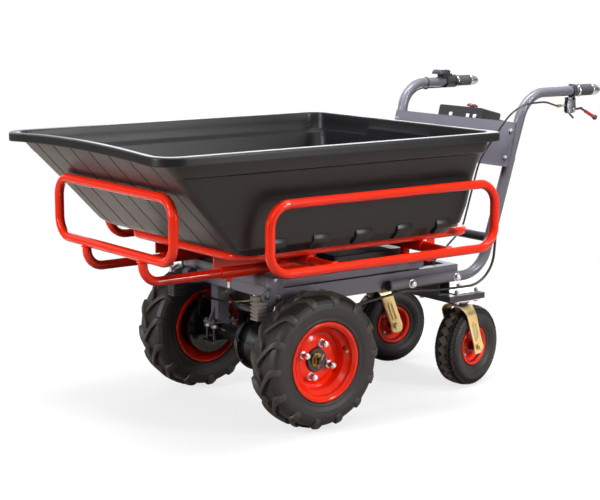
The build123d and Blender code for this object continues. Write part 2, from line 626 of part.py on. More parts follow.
glands += rod((stop_x, box_left, box_top - 34), (stop_x, box_left + 12, box_top - 34), 9)
glands += rod((stop_x, box_right - 16, box_top - 60), (stop_x, box_right, box_top - 60), 10)

mushroom_low = collar_top + STOP_TRAVEL + GAP
mushroom = rod((stop_x, BOX_Y, box_top - 20), (stop_x, BOX_Y, mushroom_low + 2), 8)
cap = rod((stop_x, BOX_Y, mushroom_low), (stop_x, BOX_Y, mushroom_low + STOP_CAP), STOP_R)
mushroom += fillet(cap.faces().sort_by(Axis.Z)[-1].edges(), STOP_CAP - 2)
save("emergency_stop", dash_place * mushroom)

key_z = half_h - 8.0
barrel_back = face_in - 34.0
barrel = rod((barrel_back, KEY_Y, key_z), (face_in, KEY_Y, key_z), 13)
barrel -= rod((barrel_back - 1, KEY_Y, key_z), (face_in - 8, KEY_Y, key_z), 4 + RUN_FIT)
save("dash_fittings", dash_place * (glands + barrel))
key = rod((barrel_back - 14, KEY_Y, key_z), (face_in - 12, KEY_Y, key_z), 4)
key += block(barrel_back - 34, barrel_back - 12, KEY_Y - 1.5, KEY_Y + 1.5, key_z - 11, key_z + 11)
save("ignition_key", dash_place * key)

# Grips: rubber sleeves with a closed bullet end
grip_start = HANDLE_END + GRIP_LENGTH - GRIP_CAP
tube_r = HANDLE_D / 2
grip_end = HANDLE_END - GRIP_CAP
grip = turned(
    (tube_r, grip_start), (GRIP_D / 2 + 2, grip_start), (GRIP_D / 2 + 2, grip_start - 4),
    (GRIP_D / 2, grip_start - 6), (GRIP_D / 2, HANDLE_END + 4), (GRIP_D / 2 - 2, HANDLE_END - 6),
    (GRIP_D / 2 - 7, grip_end + 3), (GRIP_D / 2 - 12, grip_end), (0, grip_end), (0, HANDLE_END),
    (tube_r, HANDLE_END),
)
grip_turn = Location((0, HANDLE_TOP_Y, HANDLE_TOP_Z), (0, 0, -90))
save_pair("grip", grip_turn * grip)

# Brake clamp on the left handle: split ring, body, two cheeks, pivot pins and the cable adjuster
clamp_x = grip_start + 14.0
tube_axis = Pos(clamp_x, HANDLE_TOP_Y, HANDLE_TOP_Z)
ring = tube_axis * rod((-11, 0, 0), (11, 0, 0), tube_r + 5)
ring -= tube_axis * rod((-12, 0, 0), (12, 0, 0), tube_r)
body_top = HANDLE_TOP_Z - tube_r - 2
body_low = body_top - 16
body = block(clamp_x - 12, clamp_x + 30, HANDLE_TOP_Y - 10, HANDLE_TOP_Y + 10, body_low, body_top)
pivot_x = clamp_x + 4.0
pivot_z = body_low - 26.0
catch_x = pivot_x + 19.0
catch_z = pivot_z - 5.0
for side in (-1, 1):
    y0 = HANDLE_TOP_Y + side * 4
    y1 = HANDLE_TOP_Y + side * 8
    body += block(clamp_x - 8, clamp_x + 30, y0, y1, pivot_z - 12, body_low + 1)
pin_ends = (HANDLE_TOP_Y - 10, HANDLE_TOP_Y + 10)
body += rod((pivot_x, pin_ends[0], pivot_z), (pivot_x, pin_ends[1], pivot_z), 3)
body += rod((catch_x, pin_ends[0], catch_z), (catch_x, pin_ends[1], catch_z), 2.5)
adjust_z = pivot_z + 14.0
adjust_start = clamp_x + 30.0
adjuster = rod((-4, 0, 0), (40, 0, 0), 3.5)
adjuster += block(-6, 0, -8, 8, -7, body_low + 1 - adjust_z)
adjuster += rod((8, 0, 0), (18, 0, 0), 6)
save("brake_clamp", ring + body + Pos(adjust_start, HANDLE_TOP_Y, adjust_z) * adjuster)

lever = rod((pivot_x, HANDLE_TOP_Y - 3.5, pivot_z), (pivot_x, HANDLE_TOP_Y + 3.5, pivot_z), 8.5)
lever -= rod((pivot_x, pin_ends[0], pivot_z), (pivot_x, pin_ends[1], pivot_z), 3 + RUN_FIT)
knee = Vector(pivot_x - 40, HANDLE_TOP_Y, pivot_z + 2)
tip = Vector(pivot_x - 104, HANDLE_TOP_Y, pivot_z - 30)
along = (tip - knee).normalized()
lever += rod((pivot_x - 5, HANDLE_TOP_Y, pivot_z), knee, LEVER_R)
lever += rod(knee - along * LEVER_R / 2, tip, LEVER_R)
lever += rod(tip - along * LEVER_SLEEVE, tip, LEVER_SLEEVE_R)
ball = rod(tip - along * LEVER_BALL_R, tip + along * LEVER_BALL_R, LEVER_BALL_R)
lever += fillet(ball.edges().filter_by(GeomType.CIRCLE), 0.8 * LEVER_BALL_R)
save("brake_lever", lever)

catch = rod((catch_x, HANDLE_TOP_Y - 3.5, catch_z), (catch_x, HANDLE_TOP_Y + 3.5, catch_z), 6)
catch += rod((catch_x - 4, HANDLE_TOP_Y, catch_z - 4), (catch_x - 26, HANDLE_TOP_Y, catch_z - 22), 3)
catch -= rod((catch_x, pin_ends[0], catch_z), (catch_x, pin_ends[1], catch_z), 2.5 + RUN_FIT)
save("parking_catch", catch)

# Throttle clamp, thumb lever and display pod on the right handle
right_y = -HANDLE_TOP_Y
hold_x = grip_start + 30.0
hold = rod((hold_x - 14, right_y, HANDLE_TOP_Z), (hold_x + 22, right_y, HANDLE_TOP_Z), tube_r + 6)
hold += block(hold_x - 2, hold_x + 40, right_y - 14, right_y + 14, HANDLE_TOP_Z + 10, HANDLE_TOP_Z + 26)
hold += rod((hold_x - 24, right_y, HANDLE_TOP_Z), (hold_x - 14, right_y, HANDLE_TOP_Z), tube_r + 2.5)
hold -= rod((hold_x - 30, right_y, HANDLE_TOP_Z), (hold_x + 30, right_y, HANDLE_TOP_Z), tube_r)
save("throttle_clamp", hold)
thumb_in = tube_r + 2.5 + RUN_FIT
thumb = rod((hold_x - 23, right_y, HANDLE_TOP_Z), (hold_x - 14 - GAP, right_y, HANDLE_TOP_Z), tube_r + 6)
paddle_z = HANDLE_TOP_Z - 12
thumb += block(hold_x - 32, hold_x - 14 - GAP, right_y + 16, right_y + 52, paddle_z, paddle_z + 7)
thumb -= rod((hold_x - 30, right_y, HANDLE_TOP_Z), (hold_x - 10, right_y, HANDLE_TOP_Z), thumb_in)
thumb -= rod((hold_x - 40, right_y, HANDLE_TOP_Z), (hold_x - 23, right_y, HANDLE_TOP_Z), GRIP_D / 2 + 3)
save("thumb_lever", thumb)
pod_low = HANDLE_TOP_Z + 26
pod = block(hold_x + 18, hold_x + 66, right_y - 14, right_y + 28, pod_low, pod_low + 16)
pod = chamfer(pod.faces().sort_by(Axis.Z)[-1].edges(), 5)
save("display_pod", pod)

# Tilt frame: rails over the chassis rails, cross tubes, hinge lugs with an arm for the stop pads
side = block(TILT_REAR, TILT_FRONT, TILT_IN, TILT_OUT, TILT_BOTTOM, TILT_TOP)
lug = block(HINGE_X - 20, HINGE_X + 20, TILT_OUT, lug_out, HINGE_Z, TILT_TOP)
lug += rod((HINGE_X, TILT_OUT, HINGE_Z), (HINGE_X, lug_out, HINGE_Z), 20)
pad_x = HINGE_X + 50.0
pad_z = HINGE_Z - 37.0
arm_run = Polyline(
    (HINGE_X - 12, HINGE_Z - 12), (HINGE_X + 16, HINGE_Z + 14), (pad_x + 18, pad_z + 18),
    (pad_x + 18, pad_z - 20), (pad_x - 16, pad_z - 20), close=True,
)
lug += extrude(Plane((0, TILT_OUT, 0), x_dir=(1, 0, 0), z_dir=(0, -1, 0)) * make_face(arm_run), -LUG_SHEET)
side += lug
side -= rod((HINGE_X, TILT_OUT - 1, HINGE_Z), (HINGE_X, lug_out + 1, HINGE_Z), HINGE_PIN_R + RUN_FIT)
tilt = pair(side)
for x in (TILT_FRONT - TILT_TUBE, RECEIVER_REAR + 2, TILT_REAR):
    tilt += block(x, x + TILT_TUBE, -TILT_IN, TILT_IN, TILT_BOTTOM, TILT_TOP)
save("tilt_frame", tilt)
pads = block(pad_x - 18, pad_x + 18, TILT_IN + 2, TILT_OUT, pad_z - 20, pad_z + 20)
for i in range(5):
    z = pad_z - 16 + 8 * i
    pads -= block(pad_x + 15, pad_x + 20, TILT_IN, TILT_OUT, z - 1.5, z + 1.5)
rest = block(TILT_REAR + 15, TILT_REAR + 55, RAIL_IN + 4, RAIL_OUT - 4, CHASSIS_TOP + 0.1, TILT_BOTTOM)
save("frame_pads", pair(pads + rest))

# Platform: ring under the tub, two cross receivers, two front receivers with webs, rear brackets
ring_mid = (RING_FRONT + RING_REAR) / 2
ring_plane = Plane((ring_mid, 0, RING_Z))
platform = hoop(ring_plane, RING_FRONT - RING_REAR, 2 * RING_HALF_W, RING_BEND, HOOP_D / 2)
for x in (CROSS_FRONT_X, CROSS_REAR_X):
    platform += rod((x, -CROSS_HALF, CROSS_Z), (x, CROSS_HALF, CROSS_Z), RECEIVER_D / 2)
receiver_axis = Pos(0, RECEIVER_Y, RECEIVER_Z)
receiver = receiver_axis * rod((RECEIVER_REAR, 0, 0), (RECEIVER_FRONT, 0, 0), RECEIVER_D / 2)
receiver += block(
    RECEIVER_REAR, RECEIVER_FRONT + 20, RECEIVER_Y - WEB_SHEET / 2, RECEIVER_Y + WEB_SHEET / 2,
    RECEIVER_Z + RECEIVER_D / 2 - 1, RING_Z,
)
receiver += receiver_axis * rod((CLAMP_X, 0, -RECEIVER_D / 2 - 8), (CLAMP_X, 0, 0), 9)
bracket_x = TILT_REAR + 22.0
receiver += block(bracket_x - 14, bracket_x + 14, TILT_IN + 2, RING_HALF_W, TILT_TOP, TILT_TOP + 5)
receiver += block(bracket_x - 14, bracket_x + 14, RING_HALF_W - 5, RING_HALF_W, TILT_TOP, RING_Z)
receiver += block(CROSS_REAR_X - 12, CROSS_REAR_X + 12, TILT_IN + 8, TILT_OUT - 8, TILT_TOP, CROSS_Z)
platform += pair(receiver)
leg_r = LEG_D / 2
for x in (CROSS_FRONT_X, CROSS_REAR_X):
    platform -= rod((x, -CROSS_HALF - 1, CROSS_Z), (x, CROSS_HALF + 1, CROSS_Z), leg_r + SLIDE_FIT)
bore = rod((RECEIVER_REAR - 1, 0, 0), (RECEIVER_FRONT + 21, 0, 0), leg_r + SLIDE_FIT)
bore += rod((CLAMP_X, 0, -40), (CLAMP_X, 0, 0), CLAMP_R + RUN_FIT)
platform -= pair(receiver_axis * bore)
save("platform_frame", platform)

# Clamp screws under the front receivers, with wing knobs
screw_top = RECEIVER_Z - leg_r - GAP
knob_top = RECEIVER_Z - RECEIVER_D / 2 - 16.0
screw = rod((CLAMP_X, RECEIVER_Y, knob_top - 6), (CLAMP_X, RECEIVER_Y, screw_top), CLAMP_R)
screw += rod((CLAMP_X, RECEIVER_Y, knob_top - 16), (CLAMP_X, RECEIVER_Y, knob_top), 9)
wing = block(CLAMP_X - 24, CLAMP_X + 24, RECEIVER_Y - 4, RECEIVER_Y + 4, knob_top - 26, knob_top - 8)
screw += fillet(wing.edges().filter_by(Axis.Y), 7)
save_pair("clamp_screw", screw)

# Side hoops: closed loop with two legs that slide in the cross receivers
side_mid = (SIDE_HOOP_FRONT + SIDE_HOOP_REAR) / 2
for node, side in (("side_hoop_left", 1), ("side_hoop_right", -1)):
    middle = (side_mid, side * SIDE_HOOP_Y, CROSS_Z + SIDE_HOOP_H / 2)
    side_plane = Plane(middle, x_dir=(1, 0, 0), z_dir=(0, -1, 0))
    side_hoop = hoop(side_plane, SIDE_HOOP_FRONT - SIDE_HOOP_REAR, SIDE_HOOP_H, SIDE_HOOP_BEND, HOOP_D / 2)
    for x in (CROSS_FRONT_X, CROSS_REAR_X):
        leg_end = (x, side * (SIDE_HOOP_Y - SIDE_LEG), CROSS_Z)
        side_hoop += rod((x, side * SIDE_HOOP_Y, CROSS_Z), leg_end, leg_r)
    save(node, side_hoop)

# Front hoop: closed loop on two bent legs that slide in the front receivers
front_plane = Plane(
    (FRONT_HOOP_X, 0, FRONT_HOOP_LOW + FRONT_HOOP_H / 2), x_dir=(0, 1, 0), z_dir=(1, 0, 0),
)
front_hoop = hoop(front_plane, 2 * FRONT_HOOP_HALF_W, FRONT_HOOP_H, FRONT_HOOP_BEND, HOOP_D / 2)
leg_points = (
    (FRONT_LEG_REAR, RECEIVER_Y, RECEIVER_Z),
    (FRONT_HOOP_X, RECEIVER_Y, RECEIVER_Z),
    (FRONT_HOOP_X, RECEIVER_Y, FRONT_HOOP_LOW),
)
front_hoop += pair(bent(leg_points, FRONT_LEG_BEND, leg_r))
save("front_hoop", front_hoop)


# Tub: rotation-moulded shell, outside and inside lofted through the same stations
def tub_outline(z, rear, front, half, rear_r, front_r):
    face = make_face(Polyline((rear, -half), (front, -half), (front, half), (rear, half), close=True))
    face = fillet(face.vertices().sort_by(Axis.X)[:2], rear_r)
    face = fillet(face.vertices().sort_by(Axis.X)[-2:], front_r)
    return Pos(0, 0, z) * face


arc_rise = TUB_FRONT_R * (1 - cos(radians(TUB_SLOPE)))
arc_run = TUB_FRONT_R * sin(radians(TUB_SLOPE))
wall_height = TUB_STEP_Z - TUB_FLOOR


def slope_front(rise):
    """Front of the shell at a height above the floor: a bend, then the straight slope."""
    if rise < arc_rise:
        return TUB_FLOOR_FRONT + sqrt(TUB_FRONT_R ** 2 - (TUB_FRONT_R - rise) ** 2)
    return TUB_FLOOR_FRONT + arc_run + (rise - arc_rise) / tan(radians(TUB_SLOPE))


def tub_station(rise, inset):
    """Shell outline at a height above the floor, moved in by the inset."""
    front = slope_front(rise)
    if rise < TUB_CHAMFER:
        half = TUB_FLOOR_HALF + (TUB_LOW_HALF - TUB_FLOOR_HALF) * rise / TUB_CHAMFER
    else:
        share = (rise - TUB_CHAMFER) / (wall_height - TUB_CHAMFER)
        half = TUB_LOW_HALF + (TUB_HIGH_HALF - TUB_LOW_HALF) * share
    bow = min(rise, TUB_REAR_R)
    rear = TUB_FLOOR_REAR - sqrt(TUB_REAR_R ** 2 - (TUB_REAR_R - bow) ** 2)
    share = max(0.0, rise - TUB_REAR_R) / (wall_height - TUB_REAR_R)
    rear += (TUB_HIGH_REAR - TUB_FLOOR_REAR + TUB_REAR_R) * share
    front_r = TUB_FRONT_CORNER + TUB_CORNER_GAIN * rise / wall_height
    ends = (rear + inset, front - 1.4 * inset)
    return tub_outline(TUB_FLOOR + rise, *ends, half - inset, 24.0 - inset, front_r - inset)


rises = sorted((0.0, 2.0, 7.0, 15.0, TUB_CHAMFER, arc_rise, TUB_REAR_R, wall_height))
outside = loft([tub_station(rise, 0.0) for rise in rises], ruled=True)
in_rises = sorted((TUB_WALL, 9.0, 16.0, TUB_CHAMFER, arc_rise, TUB_REAR_R, wall_height + 6))
inside = loft([tub_station(rise, TUB_WALL) for rise in in_rises], ruled=True)
band_half = TUB_HIGH_HALF + TUB_BAND
band_rear = TUB_HIGH_REAR - 6.0
band_front = slope_front(wall_height) + 2.0
band_run = TUB_TOP - TUB_STEP_Z
band_bottom = tub_outline(TUB_STEP_Z, band_rear, band_front, band_half, 24.0, BAND_CORNER)
band_top = tub_outline(TUB_TOP, band_rear - 3, band_front + 0.6 * band_run, band_half + 4, 24.0, BAND_CORNER + 2)
outside += loft([band_bottom, band_top], ruled=True)
in_ends = (band_rear + TUB_WALL, band_front - 5)
in_bottom = tub_outline(TUB_STEP_Z + 5, *in_ends, band_half - TUB_WALL, 19.0, BAND_CORNER - 5)
in_ends = (band_rear, band_front + 0.6 * band_run - 7)
in_top = tub_outline(TUB_TOP + LIP_ARCH + 1, *in_ends, band_half - 1, 19.0, BAND_CORNER - 3)
inside += loft([in_bottom, in_top], ruled=True)
lip_rear = band_rear - LIP_W
lip_half = band_half + 4 + LIP_W
rim = extrude(tub_outline(TUB_TOP - LIP_H, lip_rear, LIP_FRONT, lip_half, 24.0, 75.0), LIP_H)
rim = fillet(rim.faces().sort_by(Axis.Z)[-1].edges(), 5)
under = tub_outline(TUB_TOP - LIP_H - 1, lip_rear + 6, LIP_FRONT - 6, lip_half - 6, 18.0, 69.0)
rim -= extrude(under, LIP_H - 5)
arch_half = lip_half - 75.0
arch_top = ThreePointArc((-arch_half, TUB_TOP), (0, TUB_TOP + LIP_ARCH), (arch_half, TUB_TOP))
arch_low = Line((-arch_half, TUB_TOP), (arch_half, TUB_TOP))
arch_plane = Plane((LIP_FRONT - LIP_W - 20, 0, 0), x_dir=(0, 1, 0), z_dir=(1, 0, 0))
rim += extrude(arch_plane * make_face([arch_top, arch_low]), LIP_W + 17)
tub = outside + rim - inside
slope_z = 0.5 * (TUB_FLOOR + TUB_STEP_Z) + 10
slope_x = slope_front(slope_z - TUB_FLOOR)
for i in range(GROOVES):
    y = (i - (GROOVES - 1) / 2) * GROOVE_PITCH
    tub -= Pos(slope_x, y, slope_z) * Rot(0, -TUB_SLOPE, 0) * Box(GROOVE_LENGTH, GROOVE_W, 2 * GROOVE_DEPTH)
save("tub", tub)

# Brake cable: from the adjuster past the left upright, down behind the tub, into the pan to the linkage
cable_r = 3.0
cable_y = HANDLE_TOP_Y + tube_r + 6.0
pan_y = (half_battery + RAIL_IN) / 2 + 3
brake_points = (
    (adjust_start + 40, HANDLE_TOP_Y, adjust_z),
    (HANDLE_TOP_X - 62, cable_y - 1, adjust_z + 18),
    (HANDLE_TOP_X + 62, cable_y - 1, adjust_z + 14),
    (HANDLE_TOP_X + 130, 222, HANDLE_TOP_Z - 200),
    (CASTOR_X - 22, pan_y, RING_Z - 16),
    (CHASSIS_REAR + 56, pan_y, CHASSIS_TOP + 16),
    (CHASSIS_REAR + 92, pan_y, pan_top + 3.5),
    (PAN_FRONT + 62, pan_y, pan_top + 3.5),
    (AXLE_X - 60, 70, pull_z + 12),
    (cam_x - 4, 30, pull_z),
)
brake_bends = (110, 90, 220, 80, 30, 30, 45, 60)
save("brake_cable", bent(brake_points, brake_bends, cable_r) - linkage)

# Motor cable: from the box gland along the left handle, under the rail to the motor
side_gland = dash_place * Pos(stop_x, box_left + 16, near_gland_z)
gland_at = side_gland.position
top_x, top_y, top_z = upright(DASH_Z - 23)
low_x, low_y, low_z = upright(CROSSBAR_Z + 25)
off = tube_r + 5.5
motor_points = (
    (gland_at.X, gland_at.Y, gland_at.Z),
    (gland_at.X, gland_at.Y + 45, gland_at.Z - 2),
    (top_x - off, top_y - 2, top_z),
    (low_x - off, low_y, low_z),
    (HANDLE_LOW_X - 42, HANDLE_LOW_Y + 6, BEAM_TOP + 22),
    (REAR_TUBE_X + 20, HANDLE_LOW_Y - 4, BEAM_TOP + 22),
    (HANDLE_FRONT - 60, HANDLE_LOW_Y - 2, CHASSIS_BOTTOM - 6),
    (HANDLE_FRONT + 110, RAIL_IN, CHASSIS_BOTTOM - 40),
    (motor_x, motor_y - 60, AXLE_Z + MOTOR_R + 30),
    (motor_x, motor_y - 60, AXLE_Z + MOTOR_R - 2),
)
motor_bends = (30, 30, 100, 100, 100, 100, 60, 24)
motor_cable = bent(motor_points, motor_bends, 4.0)
fittings = dash_place * (glands + barrel)
save("motor_cable", motor_cable - motor - fittings)

# Throttle cable: from the clamp under the right handle, round the bend and down to the box
far_gland = dash_place * Pos(stop_x, box_right - 16, box_top - 60)
end_at = far_gland.position
throttle_z = HANDLE_TOP_Z - tube_r - 3.5
turn_x, turn_y, turn_z = upright(throttle_z)
low_x, low_y, low_z = upright(HANDLE_TOP_Z - 106)
throttle_points = (
    (hold_x + 21, right_y, HANDLE_TOP_Z - tube_r - 3),
    (hold_x + 50, right_y, throttle_z),
    (turn_x - 20, right_y, throttle_z),
    (low_x - 20, -low_y, low_z),
    (end_at.X, end_at.Y - 50, end_at.Z - 2),
    (end_at.X, end_at.Y, end_at.Z),
)
throttle_bends = (22, 80, 30, 22)
throttle_cable = bent(throttle_points, throttle_bends, 2.5)
save("throttle_cable", throttle_cable - hold - fittings)
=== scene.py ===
import bmesh
import bpy
import json
from math import atan2, cos, pi, radians, sin, sqrt, tan
from mathutils import Matrix, Vector


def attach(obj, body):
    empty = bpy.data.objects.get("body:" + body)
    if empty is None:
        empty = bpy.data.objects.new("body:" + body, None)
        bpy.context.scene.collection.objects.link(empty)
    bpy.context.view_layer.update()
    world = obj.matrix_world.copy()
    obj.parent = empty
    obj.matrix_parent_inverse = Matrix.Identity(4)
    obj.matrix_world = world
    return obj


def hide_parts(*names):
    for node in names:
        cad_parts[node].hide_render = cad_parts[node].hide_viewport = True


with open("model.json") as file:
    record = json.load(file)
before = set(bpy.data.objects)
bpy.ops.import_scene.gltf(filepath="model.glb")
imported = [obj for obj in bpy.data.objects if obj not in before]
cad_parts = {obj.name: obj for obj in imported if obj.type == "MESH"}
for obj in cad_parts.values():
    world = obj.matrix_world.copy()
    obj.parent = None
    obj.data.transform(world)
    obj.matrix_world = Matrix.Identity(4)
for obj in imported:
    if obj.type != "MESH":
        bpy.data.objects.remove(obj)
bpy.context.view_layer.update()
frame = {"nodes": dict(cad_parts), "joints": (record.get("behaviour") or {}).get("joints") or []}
scene = bpy.context.scene
scene.view_settings.view_transform = "Standard"


# Studio: a plain pale floor and large soft lamps, seen through a long lens from the front left.
# The white paper sweep is the world itself, white only for rays that reach the camera or a gloss.
def linear(code):
    """An sRGB hex colour as linear RGBA."""
    parts = [int(code[i:i + 2], 16) / 255 for i in (1, 3, 5)]
    return [c / 12.92 if c <= 0.04045 else ((c + 0.055) / 1.055) ** 2.4 for c in parts] + [1.0]


def add(tree, kind, sockets=None, **settings):
    """One shader node with its settings; a socket is given a value or another node's output."""
    node = tree.nodes.new("ShaderNode" + kind)
    for name, value in settings.items():
        setattr(node, name, value)
    for name, value in (sockets or {}).items():
        if isinstance(value, bpy.types.NodeSocket):
            tree.links.new(value, node.inputs[name])
        else:
            node.inputs[name].default_value = value
    return node


def tree_of(owner):
    """The empty node tree of a new material or world."""
    owner.use_nodes = True
    owner.node_tree.nodes.clear()
    return owner.node_tree


CAMERA_AT = (2.9482, 3.8496, 1.2835)
CAMERA_AZIMUTH = radians(143.593)
CAMERA_ELEVATION = radians(9.822)
LENS = 96.07
camera = bpy.data.objects.new("camera", bpy.data.cameras.new("camera"))
camera.data.lens = LENS
camera.location = CAMERA_AT
level = cos(CAMERA_ELEVATION)
towards = -Vector((sin(CAMERA_AZIMUTH) * level, -cos(CAMERA_AZIMUTH) * level, sin(CAMERA_ELEVATION)))
camera.rotation_mode = "QUATERNION"
camera.rotation_quaternion = towards.to_track_quat("-Z", "Y")
scene.collection.objects.link(camera)
scene.camera = camera

AMBIENT = 0.45           # share of the room's light that reaches a matte surface
PAPER = 4.0              # how much brighter a gloss sees the paper behind the part
PAPER_SIDES = (0.35, 0.8)    # the paper fades in between these cosines from its middle
PAPER_TOP = (0.55, 0.3)      # and between these slopes from above
# The room's own colours run from a warm floor past grey walls to a white ceiling.
world = bpy.data.worlds.new("paper_sweep")
scene.world = world
tree = tree_of(world)
rays = add(tree, "LightPath")
seen = add(tree, "Math", {0: rays.outputs["Is Camera Ray"], 1: rays.outputs["Is Transmission Ray"]},
           operation="MAXIMUM")
direction = add(tree, "TexCoord").outputs["Generated"]
facing = add(tree, "SeparateXYZ", {0: direction})
height = add(tree, "MapRange", {0: facing.outputs["Z"], 1: -1.0, 2: 1.0})
room = add(tree, "ValToRGB", {"Fac": height.outputs[0]})
bands = room.color_ramp.elements
bands[0].position = 0.44
bands[0].color = linear("#5A5049")
bands[1].position = 0.95
bands[1].color = linear("#FFFFFF")
bands.new(0.55).color = linear("#8C8D92")
share = add(tree, "MapRange", {0: rays.outputs["Is Glossy Ray"], 3: AMBIENT, 4: 1.0})
behind = add(tree, "VectorMath", {0: direction, 1: (towards.x, towards.y, 0)}, operation="DOT_PRODUCT")
wide = add(tree, "MapRange", {0: behind.outputs["Value"], 1: PAPER_SIDES[0], 2: PAPER_SIDES[1], 4: PAPER})
low = add(tree, "MapRange", {0: facing.outputs["Z"], 1: PAPER_TOP[0], 2: PAPER_TOP[1]})
backdrop = add(tree, "Math", {0: wide.outputs[0], 1: low.outputs[0]}, operation="MULTIPLY")
glow = add(tree, "Math", {0: backdrop.outputs[0], 1: rays.outputs["Is Glossy Ray"], 2: share.outputs[0]},
           operation="MULTIPLY_ADD")
lit = add(tree, "Background", {"Color": room.outputs[0], "Strength": glow.outputs[0]})
white = add(tree, "Background", {"Color": linear("#FFFFFF"), "Strength": 1.0})
mixed = add(tree, "MixShader", {0: seen.outputs[0], 1: lit.outputs[0], 2: white.outputs[0]})
add(tree, "OutputWorld", {"Surface": mixed.outputs[0]})


def softbox(name, place, aim, width, height, power):
    """A rectangular lamp that faces a point."""
    lamp = bpy.data.lights.new(name, "AREA")
    lamp.shape = "RECTANGLE"
    lamp.size = width
    lamp.size_y = height
    lamp.energy = power
    box = bpy.data.objects.new(name, lamp)
    box.location = place
    box.rotation_mode = "QUATERNION"
    box.rotation_quaternion = (Vector(aim) - Vector(place)).to_track_quat("-Z", "Y")
    scene.collection.objects.link(box)


softbox("top_softbox", (0.3, 0.3, 3.2), (0.1, 0.0, 0.4), 3.0, 0.7, 190)
softbox("left_strip", (4.2, -0.3, 1.7), (0.2, 0.0, 0.5), 0.45, 2.0, 115)
softbox("right_strip", (-1.6, 3.8, 1.7), (-0.2, 0.0, 0.5), 0.45, 2.0, 115)
softbox("front_fill", (2.6, 3.4, 2.8), (0.1, 0.0, 0.5), 1.8, 1.4, 20)
softbox("back_softbox", (-2.4, -3.0, 1.9), (0.0, 0.0, 0.5), 2.8, 1.0, 45)

FLOOR_HALF = 30.0
SHADOW_R = 0.9           # the floor shows its shadow out to here
SWEEP_R = 2.6            # and is plain white from here on
FLOOR_LIFT = 0.74        # share of plain white that the camera sees in the floor near the part
bm = bmesh.new()
bmesh.ops.create_grid(bm, x_segments=1, y_segments=1, size=FLOOR_HALF)
floor_mesh = bpy.data.meshes.new("floor")
bm.to_mesh(floor_mesh)
bm.free()
floor = bpy.data.objects.new("floor", floor_mesh)
floor.location = (0, 0, -0.0005)
floor.visible_diffuse = False
scene.collection.objects.link(floor)
paper = bpy.data.materials.new("white_paper_matte")
tree = tree_of(paper)
rays = add(tree, "LightPath")
tint = add(tree, "Mix", {0: rays.outputs["Is Glossy Ray"], 6: linear("#F4F4F4"), 7: linear("#D4C7BF")},
           data_type="RGBA")
matte = add(tree, "BsdfDiffuse", {"Color": tint.outputs[2]})
glow = add(tree, "Emission", {"Color": linear("#FFFFFF"), "Strength": 1.0})
spot = add(tree, "VectorMath", {0: add(tree, "TexCoord").outputs["Object"]}, operation="LENGTH")
fade = add(tree, "MapRange", {0: spot.outputs["Value"], 1: SHADOW_R, 2: SWEEP_R, 3: FLOOR_LIFT, 4: 1.0})
lift = add(tree, "Math", {0: rays.outputs["Is Camera Ray"], 1: fade.outputs[0]}, operation="MULTIPLY")
mixed = add(tree, "MixShader", {0: lift.outputs[0], 1: matte.outputs[0], 2: glow.outputs[0]})
add(tree, "OutputMaterial", {"Surface": mixed.outputs[0]})
floor_mesh.materials.append(paper)


# Chassis: rails, cross tubes and posts of mild steel tube with a pan of folded sheet, welded up and then
# powder coated in one bluish grey. The rear beam is in a darker grey, partly its own colour and partly
# painted shade for the dark under the chassis and tub.
PEEL = 0.004             # orange peel is about 2 mm across, drawn twice as coarse so that it shows
CLOUD = 0.09             # slow change of tone over a hand's width
TUBE_EDGE = 0.002        # rounding along the corners of the tubes
nodes = frame["nodes"]


def blank(name):
    """A new material with its empty node tree and its Object coordinates."""
    mat = bpy.data.materials.new(name)
    tree = tree_of(mat)
    return mat, tree, add(tree, "TexCoord").outputs["Object"]


def surface(tree, **sockets):
    """The principled surface of a material; a socket's blanks are written as underscores."""
    named = {name.replace("_", " "): value for name, value in sockets.items()}
    skin = add(tree, "BsdfPrincipled", named)
    add(tree, "OutputMaterial", {"Surface": skin.outputs[0]})


def powder_coat(name, light, dark, roughness, gloss, mirror=0.5):
    """Baked powder coat: an even colour with faint orange peel under a soft gloss."""
    mat, tree, place = blank(name)
    peel = add(tree, "TexNoise", {"Vector": place, "Scale": 1 / PEEL, "Detail": 2.0})
    bump = add(tree, "Bump", {"Height": peel.outputs[0], "Strength": 0.1, "Distance": 0.0005})
    cloud = add(tree, "TexNoise", {"Vector": place, "Scale": 1 / CLOUD, "Detail": 5.0})
    tone = add(tree, "Mix", {0: cloud.outputs[0], 6: linear(light), 7: linear(dark)}, data_type="RGBA")
    rough = add(tree, "MapRange", {0: cloud.outputs[0], 3: roughness - 0.06, 4: roughness + 0.08})
    surface(tree, Base_Color=tone.outputs[2], Roughness=rough.outputs[0], Normal=bump.outputs[0],
            Coat_Weight=gloss, Coat_Roughness=0.04, Specular_IOR_Level=mirror)
    return mat


def dress(finish, *names):
    """Gives CAD nodes their finish."""
    for name in names:
        nodes[name].data.materials.clear()
        nodes[name].data.materials.append(finish)


def soften(width, *names):
    """Rounds the outer edges of CAD nodes as rolled tube and folded sheet have them."""
    for name in names:
        weld = nodes[name].modifiers.new("weld", "WELD")
        weld.merge_threshold = 0.00002
        edge = nodes[name].modifiers.new("edge", "BEVEL")
        edge.width = width
        edge.segments = 2
        edge.limit_method = "ANGLE"
        edge.angle_limit = radians(40)
        edge.harden_normals = True


grey_coat = powder_coat("grey_powder_coat", "#6A6872", "#5E5C66", 0.34, 0.25, 0.3)
# the darker grey is partly the parts' own colour and partly painted shade for the dark under the tub
shade_dark_coat = powder_coat("dark_grey_powder_coat_with_painted_shade", "#45474E", "#3C3E45", 0.34, 0.25, 0.4)
dress(grey_coat, "chassis_frame")
dress(shade_dark_coat, "rear_beam")
soften(TUBE_EDGE, "chassis_frame", "rear_beam")


# Axle, motor, half shafts and brake drums: cast and turned iron, bolted together under the chassis and
# sprayed with one thin coat of black paint, bolts and all.
CASTING = 0.006          # grain of the sand casting, drawn coarse so that it shows under the paint


